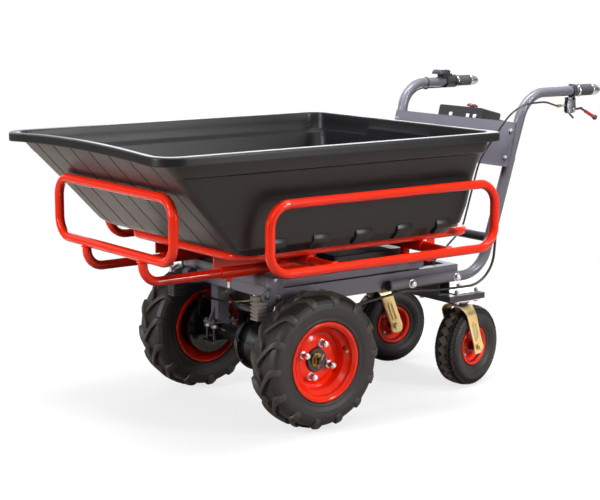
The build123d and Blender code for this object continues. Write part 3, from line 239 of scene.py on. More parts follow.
def black_paint(name, colour, roughness):
    """Brushed or sprayed black enamel over a casting: low pebbles, a dull gloss."""
    mat, tree, place = blank(name)
    grain = add(tree, "TexNoise", {"Vector": place, "Scale": 1 / CASTING, "Detail": 6.0})
    bump = add(tree, "Bump", {"Height": grain.outputs[0], "Strength": 0.15, "Distance": 0.0006})
    rough = add(tree, "MapRange", {0: grain.outputs[0], 3: roughness - 0.1, 4: roughness + 0.12})
    tone = add(tree, "Mix", {0: grain.outputs[0], 6: linear(colour), 7: linear("#171718")},
               data_type="RGBA")
    surface(tree, Base_Color=tone.outputs[2], Roughness=rough.outputs[0], Normal=bump.outputs[0])
    return mat


axle_paint = black_paint("black_enamel_on_casting", "#0B0B0C", 0.24)
dress(axle_paint, "axle_housing", "drive_motor", "axle_fixings", "brake_drum_left", "brake_drum_right",
      "half_shaft_left", "half_shaft_right")


# Frame bolts, and the lock nuts on the bolts that clamp the axle under its foot plates: cold-headed steel,
# electroplated with bright zinc. The lock nuts are turned up to the plates.
MM = 0.001
SPANGLE = 0.005          # patches of haze in the zinc
CLAMP_BOLTS = ((245.0, 161.0), (245.0, 199.0), (317.0, 161.0), (317.0, 199.0))
LOCK_NUT_Z = 212.0
MIRROR_Y = Matrix.Scale(-1, 4, (0, 1, 0))


def at(x, y, z):
    """The place of a point in millimetres."""
    return Matrix.Translation(Vector((x, y, z)) * MM)


def hazy_metal(name, light, dark, roughness):
    """Plated or bare metal: an even metal gloss with a faint patchy haze."""
    mat, tree, place = blank(name)
    patch = add(tree, "TexVoronoi", {"Vector": place, "Scale": 1 / SPANGLE})
    haze = add(tree, "TexNoise", {"Vector": place, "Scale": 1 / (4 * SPANGLE), "Detail": 4.0})
    tone = add(tree, "Mix", {0: haze.outputs[0], 6: linear(light), 7: linear(dark)}, data_type="RGBA")
    rough = add(tree, "MapRange", {0: patch.outputs["Distance"], 3: roughness - 0.08, 4: roughness + 0.12})
    surface(tree, Base_Color=tone.outputs[2], Roughness=rough.outputs[0], Metallic=1.0)
    return mat


def gather(*parts):
    """Several bmeshes as one; each is used up."""
    whole = bmesh.new()
    for part in parts:
        spare = bpy.data.meshes.new("spare")
        part.to_mesh(spare)
        part.free()
        whole.from_mesh(spare)
        bpy.data.meshes.remove(spare)
    return whole


def copies(part, places):
    """A shape repeated at each place; the shape is used up."""
    made = []
    for place in places:
        twin = part.copy()
        bmesh.ops.transform(twin, matrix=place, verts=twin.verts)
        if place.determinant() < 0:
            bmesh.ops.reverse_faces(twin, faces=twin.faces)
        made.append(twin)
    part.free()
    return gather(*made)


def mirrored(seats):
    """Places on the left and their mirror images on the right."""
    return seats + [MIRROR_Y @ seat for seat in seats]


def break_edges(bm, geom, width, segments=2, affect="EDGES"):
    """Rounds edges, or the corners of a line, by a width in millimetres."""
    bmesh.ops.bevel(bm, geom=geom, offset=width * MM, offset_type="OFFSET", segments=segments, profile=0.5,
                    affect=affect, clamp_overlap=True, material=-1)


def prism(sides, radius, low, high, chamfer, turn=0.0):
    """An upright prism along Y between two offsets, its edges broken by a chamfer."""
    bm = bmesh.new()
    bmesh.ops.create_cone(bm, cap_ends=True, segments=sides, radius1=radius * MM, radius2=radius * MM,
                          depth=(high - low) * MM)
    lie = at(0, (low + high) / 2, 0) @ Matrix.Rotation(turn, 4, "Y") @ Matrix.Rotation(-pi / 2, 4, "X")
    bmesh.ops.transform(bm, matrix=lie, verts=bm.verts)
    ends = [e for e in bm.edges if abs(e.verts[0].co.y - e.verts[1].co.y) < 1e-6]
    if chamfer:
        break_edges(bm, ends, chamfer)
    return bm


def make(name, bm, body, finish, sharp=35):
    """A finished piece: mesh in place, smooth up to an angle, riding on its body."""
    mesh = bpy.data.meshes.new(name)
    bm.to_mesh(mesh)
    bm.free()
    mesh.materials.append(finish)
    mesh.shade_smooth()
    mesh.set_sharp_from_angle(angle=radians(sharp))
    obj = bpy.data.objects.new(name, mesh)
    scene.collection.objects.link(obj)
    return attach(obj, body)


zinc = hazy_metal("bright_zinc_plate", "#D3D4D6", "#AEB0B4", 0.3)
dress(zinc, "frame_bolts")
stand = Matrix.Rotation(pi / 2, 4, "X")
lock_seats = [at(x, y, LOCK_NUT_Z) @ stand for x, y in CLAMP_BOLTS]
make("axle_lock_nuts", copies(prism(6, 10.2, 0, 10, 1.0), mirrored(lock_seats)), "chassis", zinc)


# Battery case and motor controller, standing in the pan of the chassis: a black ABS box, moulded with a
# fine spark-eroded texture, and a housing cast in aluminium and left bare.
SPARK = 0.0016           # spark-eroded grain, drawn coarse so that it shows


def moulded_plastic(name, colour, fleck, roughness):
    """Moulded plastic or rubber: fine even grain in two tones, a satin sheen."""
    mat, tree, place = blank(name)
    grain = add(tree, "TexNoise", {"Vector": place, "Scale": 1 / SPARK, "Detail": 3.0})
    bump = add(tree, "Bump", {"Height": grain.outputs[0], "Strength": 0.2, "Distance": 0.0003})
    rough = add(tree, "MapRange", {0: grain.outputs[0], 3: roughness - 0.07, 4: roughness + 0.07})
    tone = add(tree, "Mix", {0: grain.outputs[0], 6: linear(colour), 7: linear(fleck)}, data_type="RGBA")
    surface(tree, Base_Color=tone.outputs[2], Roughness=rough.outputs[0], Normal=bump.outputs[0])
    return mat


case_plastic = moulded_plastic("black_abs_moulded", "#1B1B1D", "#2A2A2C", 0.42)
cast_alloy = hazy_metal("cast_aluminium", "#B9BABC", "#9B9C9F", 0.4)
dress(case_plastic, "battery_case")
dress(cast_alloy, "motor_controller")


# Brake linkage: a thin steel pull rod with yellow chromate runs forward to a flat balance bar, and two
# black rods from there to the cam levers on the backing plates. The rods end in black clevis blocks.
FILM = 0.045             # the chromate shimmers from gold to pale green and pink in broad patches
CAM_X = 321.0
PULL_Z = 305.0
PULL_Y = -63.0           # the pull rod runs beside the middle


def yellow_chromate(name):
    """Yellow passivated zinc: gold with iridescent drifts, a satin metal gloss."""
    mat, tree, place = blank(name)
    drift = add(tree, "TexNoise", {"Vector": place, "Scale": 1 / FILM, "Detail": 3.0, "Distortion": 1.5})
    ramp = add(tree, "ValToRGB", {"Fac": drift.outputs[0]})
    bands = ramp.color_ramp.elements
    bands[0].position = 0.3
    bands[0].color = linear("#D6D6B4")
    bands[1].position = 0.7
    bands[1].color = linear("#DDBE8C")
    bands.new(0.5).color = linear("#E2CC8E")
    fine = add(tree, "TexNoise", {"Vector": place, "Scale": 1 / SPANGLE, "Detail": 3.0})
    rough = add(tree, "MapRange", {0: fine.outputs[0], 3: 0.22, 4: 0.42})
    surface(tree, Base_Color=ramp.outputs[0], Roughness=rough.outputs[0], Metallic=1.0)
    return mat


def turned(points, rounding, steps=96):
    """A closed ring turned about the Y axis from (radius, offset) points, its corners rounded."""
    bm = bmesh.new()
    verts = [bm.verts.new((r * MM, y * MM, 0)) for r, y in points]
    for a, b in zip(verts, verts[1:] + verts[:1]):
        bm.edges.new((a, b))
    if rounding:
        break_edges(bm, verts, rounding, 3, "VERTICES")
    bmesh.ops.spin(bm, geom=bm.verts[:] + bm.edges[:], cent=(0, 0, 0), axis=(0, 1, 0),
                   angle=2 * pi, steps=steps, use_merge=True)
    bmesh.ops.remove_doubles(bm, verts=bm.verts, dist=1e-6)
    bmesh.ops.recalc_face_normals(bm, faces=bm.faces)
    return bm


def slab(points, low, high, edge):
    """A flat piece with an outline in the XZ plane, between two offsets along Y, its edges rounded."""
    bm = bmesh.new()
    face = bm.faces.new([bm.verts.new((x * MM, low * MM, z * MM)) for x, z in points])
    far = bmesh.ops.extrude_face_region(bm, geom=[face])["geom"]
    far = [v for v in far if isinstance(v, bmesh.types.BMVert)]
    bmesh.ops.translate(bm, vec=(0, (high - low) * MM, 0), verts=far)
    bmesh.ops.recalc_face_normals(bm, faces=bm.faces)
    if edge:
        break_edges(bm, bm.edges[:], edge)
    return bm


def block(x, y, z, edge):
    """A slab with square corners between pairs of X, Y and Z."""
    return slab([(x[0], z[0]), (x[1], z[0]), (x[1], z[1]), (x[0], z[1])], y[0], y[1], edge)


def between(start, end):
    """The place of a turned piece that runs from one point to another."""
    swing = Vector((0, 1, 0)).rotation_difference(Vector(end) - Vector(start))
    return at(*start) @ swing.to_matrix().to_4x4()


def rounded(radius, length, bulge):
    """A bar from the origin along Y with rounded ends."""
    return turned([(0.01, 0), (radius, 0), (radius, length), (0.01, length)], bulge, 32)


gold_zinc = yellow_chromate("yellow_chromate_zinc")
both = [Matrix.Identity(4), MIRROR_Y]
rod_half = gather(copies(rounded(2.6, 166, 0.6), [between((CAM_X, 60, PULL_Z), (CAM_X, 226, PULL_Z))]),
                  copies(prism(6, 5.6, 0, 9, 0.6), [between((CAM_X, 66, PULL_Z), (CAM_X, 80, PULL_Z))]))
rods_piece = make("brake_rods", copies(rod_half, both), "chassis", axle_paint)
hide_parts("brake_linkage")
pull_rod = copies(rounded(2.4, 121, 0.8), [between((205, PULL_Y, 303), (CAM_X + 4, PULL_Y, 311))])
make("brake_pull_rod", pull_rod, "chassis", gold_zinc)
lever_line = [(313, 244), (329, 244), (327, 300), (325, 313), (317, 313), (315, 300)]
balance_bar = block((CAM_X - 3.5, CAM_X + 3.5), (-56, 56), (PULL_Z - 8, PULL_Z + 8), 1.0)
cam_levers = gather(copies(slab(lever_line, 228, 233.5, 1.2), both), balance_bar)
make("brake_cam_levers", cam_levers, "chassis", axle_paint)
clevis = block((CAM_X - 6, CAM_X + 6), (206, 229), (PULL_Z - 6, PULL_Z + 6), 1.2)
make("brake_clevises", copies(clevis, both), "chassis", axle_paint)


# Drive wheels: pneumatic tyres on pressed steel rims, held by four long nuts each, with a castle nut on
# the shaft. Each wheel is modelled about its own axle, outer face towards +Y, and then set on its joint.
BLOOM = 0.03             # patches where the rubber has bloomed a little brown
POCK = 0.0025            # pocks that the mould left
joints = {joint["name"]: joint for joint in frame["joints"]}


def tyre_rubber(name, colour, bloom):
    """Moulded tyre rubber: nearly black, matte, with a thin brownish bloom."""
    mat, tree, place = blank(name)
    patch = add(tree, "TexNoise", {"Vector": place, "Scale": 1 / BLOOM, "Detail": 6.0})
    tone = add(tree, "Mix", {0: patch.outputs[0], 6: linear(colour), 7: linear(bloom)}, data_type="RGBA")
    pocks = add(tree, "TexNoise", {"Vector": place, "Scale": 1 / POCK, "Detail": 2.0})
    bump = add(tree, "Bump", {"Height": pocks.outputs[0], "Strength": 0.15, "Distance": 0.0004})
    rough = add(tree, "MapRange", {0: patch.outputs[0], 3: 0.4, 4: 0.58})
    surface(tree, Base_Color=tone.outputs[2], Roughness=rough.outputs[0], Normal=bump.outputs[0],
            Specular_IOR_Level=0.36)
    return mat


def sheet_of(columns, rows, place):
    """A grid of quads whose corners go where place(column, row) says; seams are merged."""
    bm = bmesh.new()
    bmesh.ops.create_grid(bm, x_segments=columns, y_segments=rows, size=1)
    for v in bm.verts:
        v.co = place(round((v.co.x + 1) / 2 * columns), round((v.co.y + 1) / 2 * rows))
    bmesh.ops.remove_doubles(bm, verts=bm.verts, dist=1e-6)
    return bm


def joint_at(name):
    """The point that a joint turns about, in millimetres."""
    return Vector(joints[name]["pos_m"]) / MM


def on_joint(name):
    """The place of a joint, turned so that its axis is the piece's own Y axis."""
    swing = Vector((0, 1, 0)).rotation_difference(Vector(joints[name]["axis"]))
    return at(*joint_at(name)) @ swing.to_matrix().to_4x4()


def fit_wheels(shapes, stands_for, places, body):
    """Sets each shape on both wheels of a pair, some of them in place of a CAD node."""
    for part, (shape, finish) in shapes.items():
        for side, place in places.items():
            piece = make(f"{part}_{side}", copies(shape.copy(), [place]), f"{body}_{side}", finish)
            if part in stands_for:
                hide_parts(f"{stands_for[part]}_{side}")
        shape.free()


# Carcass of the drive tyre: black filled rubber, vulcanised in a mould. It has a bead, a bulged sidewall
# with a rim guard and a rounded crown.
TYRE_R = 200.0
CARCASS_R = 188.0
SIDE_Y = 59.5
tyre_half = [(104, 30), (103, 48.6), (116.5, 49.2), (119, 53), (125, 54.5), (127, 53.5), (140, 58),
             (156, SIDE_Y), (170, 57.5), (180, 51), (186, 39), (CARCASS_R, 18)]
carcass = turned(tyre_half + [(r, -y) for r, y in reversed(tyre_half)], 5.0, 120)
drive_rubber = tyre_rubber("drive_tyre_rubber", "#1A191A", "#262322")

# Tread of the drive tyre: curved bars from a nose in the middle to a foot on the sidewall; the bars
# of the other half stand half a pitch on. A bar is a grid of rows: flank, top, crown, top, flank.
LUGS = 14
BAR_SWEEP = 84.0         # how far a bar trails round the tyre on its way out,
BAR_CURVE = 1.25         # and how it curves on that way
BAR_NOSE = 7.5           # half width of the top at the nose
BAR_KNEE = 11.5          # and at the shoulder
FLANK = 4.5              # how much wider the bar is at its root
ROOT_SINK = 14.0         # how far its flanks go down into the carcass,
CROWN_CORE = 165.0       # towards a circle of this radius,
CORE_SQUASH = 0.9        # squashed by this factor
bar_tops = [(-9, 185), (-5, 199.6), (8, 199.8), (20, 199), (31, 197.4), (41, 194.6), (49, 190), (55, 184),
            (59.4, 176), (60.6, 168), (59.4, 160)]
KNEE_STEP = 6            # the one of these at the shoulder


def bar_point(i, j):
    """A point of one bar: step i from nose to foot, row j across."""
    y, r = bar_tops[i]
    out = min(i / KNEE_STEP, 1.0)
    trail = BAR_SWEEP * (1 - (1 - out) ** BAR_CURVE)
    half = BAR_NOSE + (BAR_KNEE - BAR_NOSE) * out
    across = (-half - FLANK, -half, 0.0, half, half + FLANK)[j]
    if j in (0, 4):
        r, y = Vector((r, y)) - ROOT_SINK * Vector((r - CROWN_CORE, y * CORE_SQUASH)).normalized()
    angle = (trail + across) / TYRE_R
    return Vector((r * cos(angle), y, r * sin(angle))) * MM


bar = sheet_of(len(bar_tops) - 1, 4, bar_point)
crest = [e for e in bar.edges if e.calc_face_angle(0) > radians(25) and e.calc_length() > 5 * MM]
break_edges(bar, crest, 2.2)
bmesh.ops.holes_fill(bar, edges=[e for e in bar.edges if e.is_boundary], sides=0)
bmesh.ops.recalc_face_normals(bar, faces=bar.faces)
pitch = 2 * pi / LUGS
rounds = [Matrix.Rotation(i * pitch, 4, "Y") for i in range(LUGS)]
half_step = Matrix.Rotation(pitch / 2, 4, "Y") @ MIRROR_Y
tread = copies(bar, rounds + [turn @ half_step for turn in rounds])
lug_rubber = tyre_rubber("drive_tread_rubber", "#2A2827", "#433C35")

# Rim: rolled steel barrel with a drop well and a pressed disc with a raised seat for the nuts, welded
# together and powder coated in a gloss orange red.
barrel_half = [(116, 49), (116.5, 53.5), (109, 53.5), (98.5, 46), (98, 37), (83, 26)]
barrel_back = [(87, 25), (102, 35), (102.5, 48.6)]
barrel = turned(barrel_half + [(r, -y) for r, y in reversed(barrel_half)]
                + [(r, -y) for r, y in reversed(barrel_back)] + barrel_back, 2.5)
disc_line = [(33.4, 6), (59, 6), (66, 2.5), (72, 0.5), (84, 3), (84, -2), (71, -4), (62, 0), (57, 2),
             (33.4, 2)]
rim = gather(barrel, turned(disc_line, 2.0))
red_coat = powder_coat("red_powder_coat", "#FF2E08", "#F42606", 0.2, 0.32, 0.1)

# Hub parts: on the black drum hub sit a washer and a castle nut in dull yellow zinc, with a split pin
# through the nut and the shaft. Four long nuts with rounded caps hold the rim on its studs.
STUD_R = 50.0
NUT_START = radians(67)
PIN_TURN = radians(62)
castle = prism(6, 16.5, 14.6, 23, 1.2)
tooth = prism(4, 4.2, 22, 28, 0.8, pi / 4)
bmesh.ops.translate(tooth, vec=(12.4 * MM, 0, 0), verts=tooth.verts)
sixth = [Matrix.Rotation(i * pi / 3, 4, "Y") for i in range(6)]
washer = turned([(11.2, 11.6), (20, 11.6), (20, 15), (11.2, 15)], 0.6)
castle = gather(castle, copies(tooth, sixth), washer)
pin_leg = prism(10, 1.9, -26, 26, 0.6)
bmesh.ops.rotate(pin_leg, cent=(0, 0, 0), matrix=Matrix.Rotation(PIN_TURN, 3, "X"), verts=pin_leg.verts)
bmesh.ops.translate(pin_leg, vec=(0, 30 * MM, 0), verts=pin_leg.verts)
shaft_end = prism(32, 9.5, 20, 29.5, 1.5)
nut_cap = turned([(0.01, 29.5), (7.6, 29.5), (7.2, 33), (4.5, 34), (0.01, 34.2)], 1.0, 24)
nut_seat = turned([(5.2, 5.8), (13, 5.8), (11.5, 9), (5.2, 9)], 0.6, 32)
nut = gather(prism(6, 9.8, 5.8, 30, 1.5), nut_cap, nut_seat)
on_stud = at(STUD_R, 0, 0)
nuts = copies(nut, [Matrix.Rotation(NUT_START + i * pi / 2, 4, "Y") @ on_stud for i in range(4)])
dull_zinc = hazy_metal("dull_yellow_zinc", "#B08E4C", "#765D30", 0.4)

# Valve: a stem and cap turned from brass in a moulded rubber foot, set in the slope of the well and
# leaning to the middle.
VALVE_TURN = radians(197)
VALVE_AT = (91.0, 27.0, 0.0)
VALVE_LEAN = radians(27)
valve_place = Matrix.Rotation(VALVE_TURN, 4, "Y") @ at(*VALVE_AT) @ Matrix.Rotation(VALVE_LEAN, 4, "Z")
foot_line = [(0.01, -4), (7.5, -4), (7.5, 2), (5.2, 5), (4.6, 9), (0.01, 9)]
stem_line = [(0.01, 8), (3.9, 8), (3.9, 20), (3.2, 21), (3.2, 23), (0.01, 23)]
cap_line = [(0.01, 22), (4.6, 22), (4.8, 31), (3.6, 33), (0.01, 33)]
valve_foot = copies(turned(foot_line, 1.0, 32), [valve_place])
valve_stem = copies(turned(stem_line, 0.4, 32), [valve_place])
valve_cap = copies(turned(cap_line, 0.8, 32), [valve_place])


def turned_brass(name):
    """Machined brass: warm yellow metal, dulled in small patches by fingers."""
    mat, tree, place = blank(name)
    dull = add(tree, "TexNoise", {"Vector": place, "Scale": 1 / SPANGLE, "Detail": 4.0})
    tone = add(tree, "Mix", {0: dull.outputs[0], 6: linear("#D9A441"), 7: linear("#A9762B")},
               data_type="RGBA")
    rough = add(tree, "MapRange", {0: dull.outputs[0], 3: 0.2, 4: 0.4})
    surface(tree, Base_Color=tone.outputs[2], Roughness=rough.outputs[0], Metallic=1.0)
    return mat


pad_rubber = moulded_plastic("black_rubber_pad", "#29292A", "#333334", 0.6)
brass = turned_brass("turned_brass")
shapes = {"tyre": (carcass, drive_rubber), "tread": (tread, lug_rubber), "rim": (rim, red_coat),
          "castle_nut": (castle, dull_zinc), "split_pin": (pin_leg, zinc),
          "shaft_end": (shaft_end, axle_paint), "wheel_nuts": (nuts, zinc),
          "valve_foot": (valve_foot, pad_rubber), "valve_stem": (valve_stem, brass),
          "valve_cap": (valve_cap, brass)}
stands_for = {"tyre": "drive_tyre", "rim": "drive_rim", "wheel_nuts": "wheel_nuts"}
drive_places = {"left": on_joint("drive_spin_left"), "right": on_joint("drive_spin_right") @ MIRROR_Y}
fit_wheels(shapes, stands_for, drive_places, "drive_wheel")


# Castor wheels: small pneumatic tyres with a block tread on a split rim of two red steel pressings, held
# by four small bolts, turning on a plain hub. Modelled about the axle, valve side towards +Y.
BLOCKS = 26
RIM_BOLT_R = 39.0
STEM_AT = (45.0, 11.0, 0.0)
STEM_LEAN = radians(20)
castor_half = [(51, 22), (51, 26), (61.6, 26.2), (65, 31), (70, 33.5), (72, 33), (80, 39), (91, 42.2),
               (102, 41.6), (111, 37.5), (116.5, 30), (119.6, 19), (120.4, 7)]
castor_carcass = turned(castor_half + [(r, -y) for r, y in reversed(castor_half)], 3.0)


def knob(sides, wide, long, height, chamfer):
    """A tread block standing on the origin along +X, its root sunk below the carcass."""
    bm = prism(sides, 10, -8, height, 0, pi / sides if sides == 4 else 0)
    spread = Matrix.Diagonal((wide / 10, 1, long / 10, 1))
    bmesh.ops.transform(bm, matrix=Matrix.Rotation(-pi / 2, 4, "Z") @ spread, verts=bm.verts)
    top = [e for e in bm.edges if all(v.co.x > 0 for v in e.verts)]
    break_edges(bm, top, chamfer, 1)
    return bm


def tread_places(r, y, lean, count, phase):
    """Places round the tyre at a radius and offset, leaning out by an angle, on both halves."""
    seat = at(r, y, 0) @ Matrix.Rotation(radians(lean), 4, "Z")
    around = [Matrix.Rotation(2 * pi * (i + phase) / count, 4, "Y") @ seat for i in range(count)]
    return mirrored(around) if y else around


on_point = Matrix.Rotation(pi / 4, 4, "X")
lozenges = copies(knob(4, 14, 20.5, 4.2, 0.7),
                  [place @ on_point for place in tread_places(122.7, 0, 0, BLOCKS, 0)])
castor_tread = gather(copies(knob(6, 5.6, 8.6, 4.4, 0.7), tread_places(122.0, 15.5, 9, 2 * BLOCKS, 0.5)),
                      copies(knob(6, 5.4, 8.0, 4.2, 0.7), tread_places(118.0, 28.5, 40, 2 * BLOCKS, 0)),
                      copies(knob(4, 6.4, 3.0, 1.8, 0.5), tread_places(109.5, 38.4, 58, 3 * BLOCKS, 0.25)))
hair = prism(3, 0.55, 0, 5.5, 0)
bmesh.ops.transform(hair, matrix=Matrix.Rotation(-pi / 2, 4, "Z"), verts=hair.verts)
hairs = copies(hair, tread_places(120.5, 29, 48, 2 * BLOCKS, 0.6))
press_half = [(62, 28), (62, 31.5), (57.5, 31.5), (53, 27.5), (50, 15), (42, 9.5), (32, 12), (22, 19),
              (15.4, 20.5), (15.4, 17), (21, 15.5), (31, 8.5), (42, 5.5), (51.5, 5.5), (54.5, 24),
              (57.5, 28)]
castor_rim = gather(turned(press_half, 1.6), turned([(r, -y) for r, y in press_half], 1.6))
castor_hub = turned([(6.4, -46), (14.8, -46), (14.8, 46), (6.4, 46)], 1.0, 48)
rim_bolt = gather(prism(6, 6.4, 8, 14, 0.8), prism(24, 8.5, 7.4, 9, 0.4), prism(16, 3.8, 13, 18, 0.8))
on_circle = at(RIM_BOLT_R, 0, 0)
bolt_seats = [Matrix.Rotation(pi / 4 + i * pi / 2, 4, "Y") @ on_circle for i in range(4)]
rim_bolts = copies(rim_bolt, mirrored(bolt_seats))
stem = turned([(0.01, -4), (5, -4), (5, 3), (3.4, 5), (3.2, 14), (2.6, 15), (2.6, 18), (0.01, 18)], 0.5, 24)
small_valve = copies(stem, [at(*STEM_AT) @ Matrix.Rotation(STEM_LEAN, 4, "Z")])
castor_rubber = tyre_rubber("castor_tyre_rubber", "#191819", "#252221")
worn_rubber = tyre_rubber("worn_tread_rubber", "#5C534A", "#7A6F63")
shapes = {"castor_carcass": (castor_carcass, castor_rubber), "castor_lozenges": (lozenges, worn_rubber),
          "castor_blocks": (castor_tread, castor_rubber), "castor_hairs": (hairs, castor_rubber),
          "castor_pressings": (castor_rim, red_coat), "castor_hub": (castor_hub, axle_paint),
          "castor_rim_bolts": (rim_bolts, zinc), "castor_valve": (small_valve, brass)}
stands_for = {"castor_carcass": "castor_tyre", "castor_pressings": "castor_rim"}
castor_places = {side: on_joint("castor_spin_" + side) for side in ("left", "right")}
fit_wheels(shapes, stands_for, castor_places, "castor_wheel")


# Castor forks: one strip of steel pressed to an arch with raised ribs on its legs, in yellow chromate. A
# king pin holds each under a zinc plated top plate with a blue nylon seal. Modelled about the swivel axis,
# the wheel trailing towards -X.
FORK_SHEET = 5.0
LEG_Y = 49.5             # middle of the sheet
TRAIL = 50.0
RIB_HALF = 24.0          # half the straight run of a rib
RIB_AT = (-31.0, 52.0, 178.0)
LEG_LEAN = radians(20.5)
half_strip = [(LEG_Y, 105, -TRAIL, 10), (LEG_Y, 110, -TRAIL, 19), (LEG_Y, 116, -TRAIL, 22),
              (LEG_Y, 130, -TRAIL, 23), (LEG_Y, 170, -34, 23), (LEG_Y, 210, -19, 23.5),
              (LEG_Y, 234, -10, 24), (48, 243, -6, 24.5), (44, 251, -3, 25), (36, 260, -1, 28),
              (29, 265, 0, 30), (20, 267.6, 0, 32), (9, 268, 0, 33)]
strip = half_strip + [(0, 268, 0, 33)] + [(-y, z, x, half) for y, z, x, half in reversed(half_strip)]
ACROSS = 6


def fork_point(i, j):
    """A point of the pressed strip: station i along it, row j across."""
    y, z, x, half = strip[i]
    return Vector((x + half * (2 * j / ACROSS - 1), y, z)) * MM


fork = sheet_of(len(strip) - 1, ACROSS, fork_point)
bmesh.ops.recalc_face_normals(fork, faces=fork.faces)
bmesh.ops.solidify(fork, geom=fork.faces[:], thickness=FORK_SHEET * MM)
bmesh.ops.recalc_face_normals(fork, faces=fork.faces)
rim_edges = [e for e in fork.edges if e.calc_face_angle(0) > radians(60)]
break_edges(fork, rim_edges, 1.2)
rib = turned([(4.6, -0.6), (8.0, -0.6), (7.4, 1.3), (5.2, 1.3)], 0.5, 32)
for v in rib.verts:
    v.co.z += RIB_HALF * MM if v.co.z > 1e-6 else -RIB_HALF * MM
rib_seat = at(*RIB_AT) @ Matrix.Rotation(LEG_LEAN, 4, "Y")
fork = gather(fork, copies(rib, mirrored([rib_seat])))
for side in ("left", "right"):
    swivel = joint_at("castor_swivel_" + side)
    axle = joint_at("castor_spin_" + side)
    turn = Matrix.Rotation((swivel - axle).xy.angle_signed(Vector((1, 0))), 4, "Z")
    place = at(swivel.x, swivel.y, 0) @ turn
    fork_piece = make(f"castor_arch_{side}", copies(fork.copy(), [place]), "castor_" + side, gold_zinc, 40)
    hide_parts(f"castor_fork_{side}")
fork.free()
blue_plastic = moulded_plastic("blue_nylon_seal", "#1D4FB0", "#173F8E", 0.3)
dress(gold_zinc, "castor_bolt_left", "castor_bolt_right")
dress(zinc, "castor_plates")
dress(blue_plastic, "castor_seals")


# Tilt frame: square steel tubes welded to a ladder in the grey coat, with sheet ears outside the rails at
# the hinge. Each ear reaches forward and carries a ribbed rubber block, the stop. The left one is grey, and
# the right one is black, a painted shade for the shadow it lies in. Zinc plated pins carry the frame, and
# rubber pads let it down softly at the rear.
LADDER_REAR = -185.0
LADDER_FRONT = 382.0
LADDER_Z = (404.0, 434.0)
RUNG = 30.0
RAIL_IN = 203.0
RAIL_OUT = 233.0
EAR_OUT = 239.0
HINGE_R = 20.0           # rounding of the ear round its pin
STOP_BOLT = (402.0, 385.0)
STOP_X = (392.0, 434.0)
STOP_LOW = 317.0
STOP_LAYERS = 5
LAYER_PITCH = 11.0
hinge = joint_at("tub_tilt")
ladder = block((LADDER_REAR, LADDER_FRONT), (RAIL_IN, RAIL_OUT), LADDER_Z, 3.0)
ear_line = [(344, 433), (344, 372)]
for degrees in range(190, 300, 12):
    angle = radians(degrees)
    ear_line.append((hinge.x + HINGE_R * cos(angle), hinge.z + HINGE_R * sin(angle)))
ear_line += [(378, 342), (396, 332), (400, 340), (401, 366), (412, 371), (418, 378), (416, 389), (404, 397),
             (384, 400), (384, 433)]
ear = slab(ear_line, RAIL_OUT - 0.5, EAR_OUT, 0.8)
sides = copies(gather(ladder, ear), both)
rungs = [block((x, x + RUNG), (-RAIL_IN - 1, RAIL_IN + 1), LADDER_Z, 3.0)
         for x in (LADDER_FRONT - RUNG, 170, LADDER_REAR)]
ladder_piece = make("tilt_ladder", gather(sides, *rungs), "tilt_platform", grey_coat)
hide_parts("tilt_frame")
rest = block((-170, -130), (206, 228), (399.5, 405), 0.6)
pads_piece = make("rest_pads", copies(rest, both), "tilt_platform", pad_rubber)
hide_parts("frame_pads")
layers = [block((395, 431), (RAIL_IN + 3, EAR_OUT - 3), (318, 370), 1.0)]
for i in range(STOP_LAYERS):
    z = STOP_LOW + i * LAYER_PITCH
    layers.append(block(STOP_X, (RAIL_IN, EAR_OUT), (z, z + 7), 1.2))
layers.append(block(STOP_X, (RAIL_IN, RAIL_OUT - 1), (372, 384), 1.2))
buffer = gather(*layers)
buffer_rubber = moulded_plastic("grey_rubber_buffer", "#857C73", "#6F675F", 0.6)
# the right stop is drawn in black rubber as painted shade for the shadow it lies in
make("stop_buffer_right", copies(buffer.copy(), [MIRROR_Y]), "tilt_platform", pad_rubber)
make("stop_buffer_left", buffer, "tilt_platform", buffer_rubber)
ear_bolt = gather(prism(28, 8.5, -1, 1.6, 0.4), prism(6, 7.0, 1.5, 7, 1.0))
bolt_seats = [at(STOP_BOLT[0], EAR_OUT, STOP_BOLT[1]), at(hinge.x, EAR_OUT + 3, hinge.z)]
bare_steel = hazy_metal("oiled_bare_steel", "#5E5E60", "#3E3E40", 0.36)
make("ear_bolts", copies(ear_bolt, mirrored(bolt_seats)), "tilt_platform", bare_steel)
dress(zinc, "hinge_pins")


# Platform ring and hoops: bent and welded steel tube in the same red coat as the rims. The hoops slide in
# the ring's receivers. A low uneven weld bead runs round each hoop leg where it meets its hoop.
HOOP_Y = 430.0
HOOP_Z = 485.5
HOOP_R = 13.5
HOOP_LEGS_X = (296.0, -122.0)
FRONT_HOOP = (754.0, 510.5)
FRONT_LEGS_Y = (-155.0, 155.0)
RIPPLE = 0.5             # how far the bead wanders,
RIPPLES = 11             # and how often round the leg
bead = turned([(12.8, -2.6), (14.8, -2.2), (16.4, -0.4), (16.6, 1.6), (12.8, 2.6)], 0.8, 40)
for v in bead.verts:
    turn = Vector((v.co.x, v.co.z)).angle_signed(Vector((1, 0)), 0.0)
    v.co.y += RIPPLE * MM * sin(RIPPLES * turn)
for side, sign in (("left", 1), ("right", -1)):
    flip = Matrix.Rotation(pi * (sign < 0), 4, "X")
    spots = [at(x, sign * (HOOP_Y - HOOP_R), HOOP_Z) @ flip for x in HOOP_LEGS_X]
    make("side_hoop_welds_" + side, copies(bead.copy(), spots), "side_hoop_" + side, red_coat)
spots = [at(FRONT_HOOP[0], y, FRONT_HOOP[1]) @ stand for y in FRONT_LEGS_Y]
make("front_hoop_welds", copies(bead, spots), "front_hoop", red_coat)
dress(red_coat, "platform_frame", "front_hoop", "side_hoop_left", "side_hoop_right")

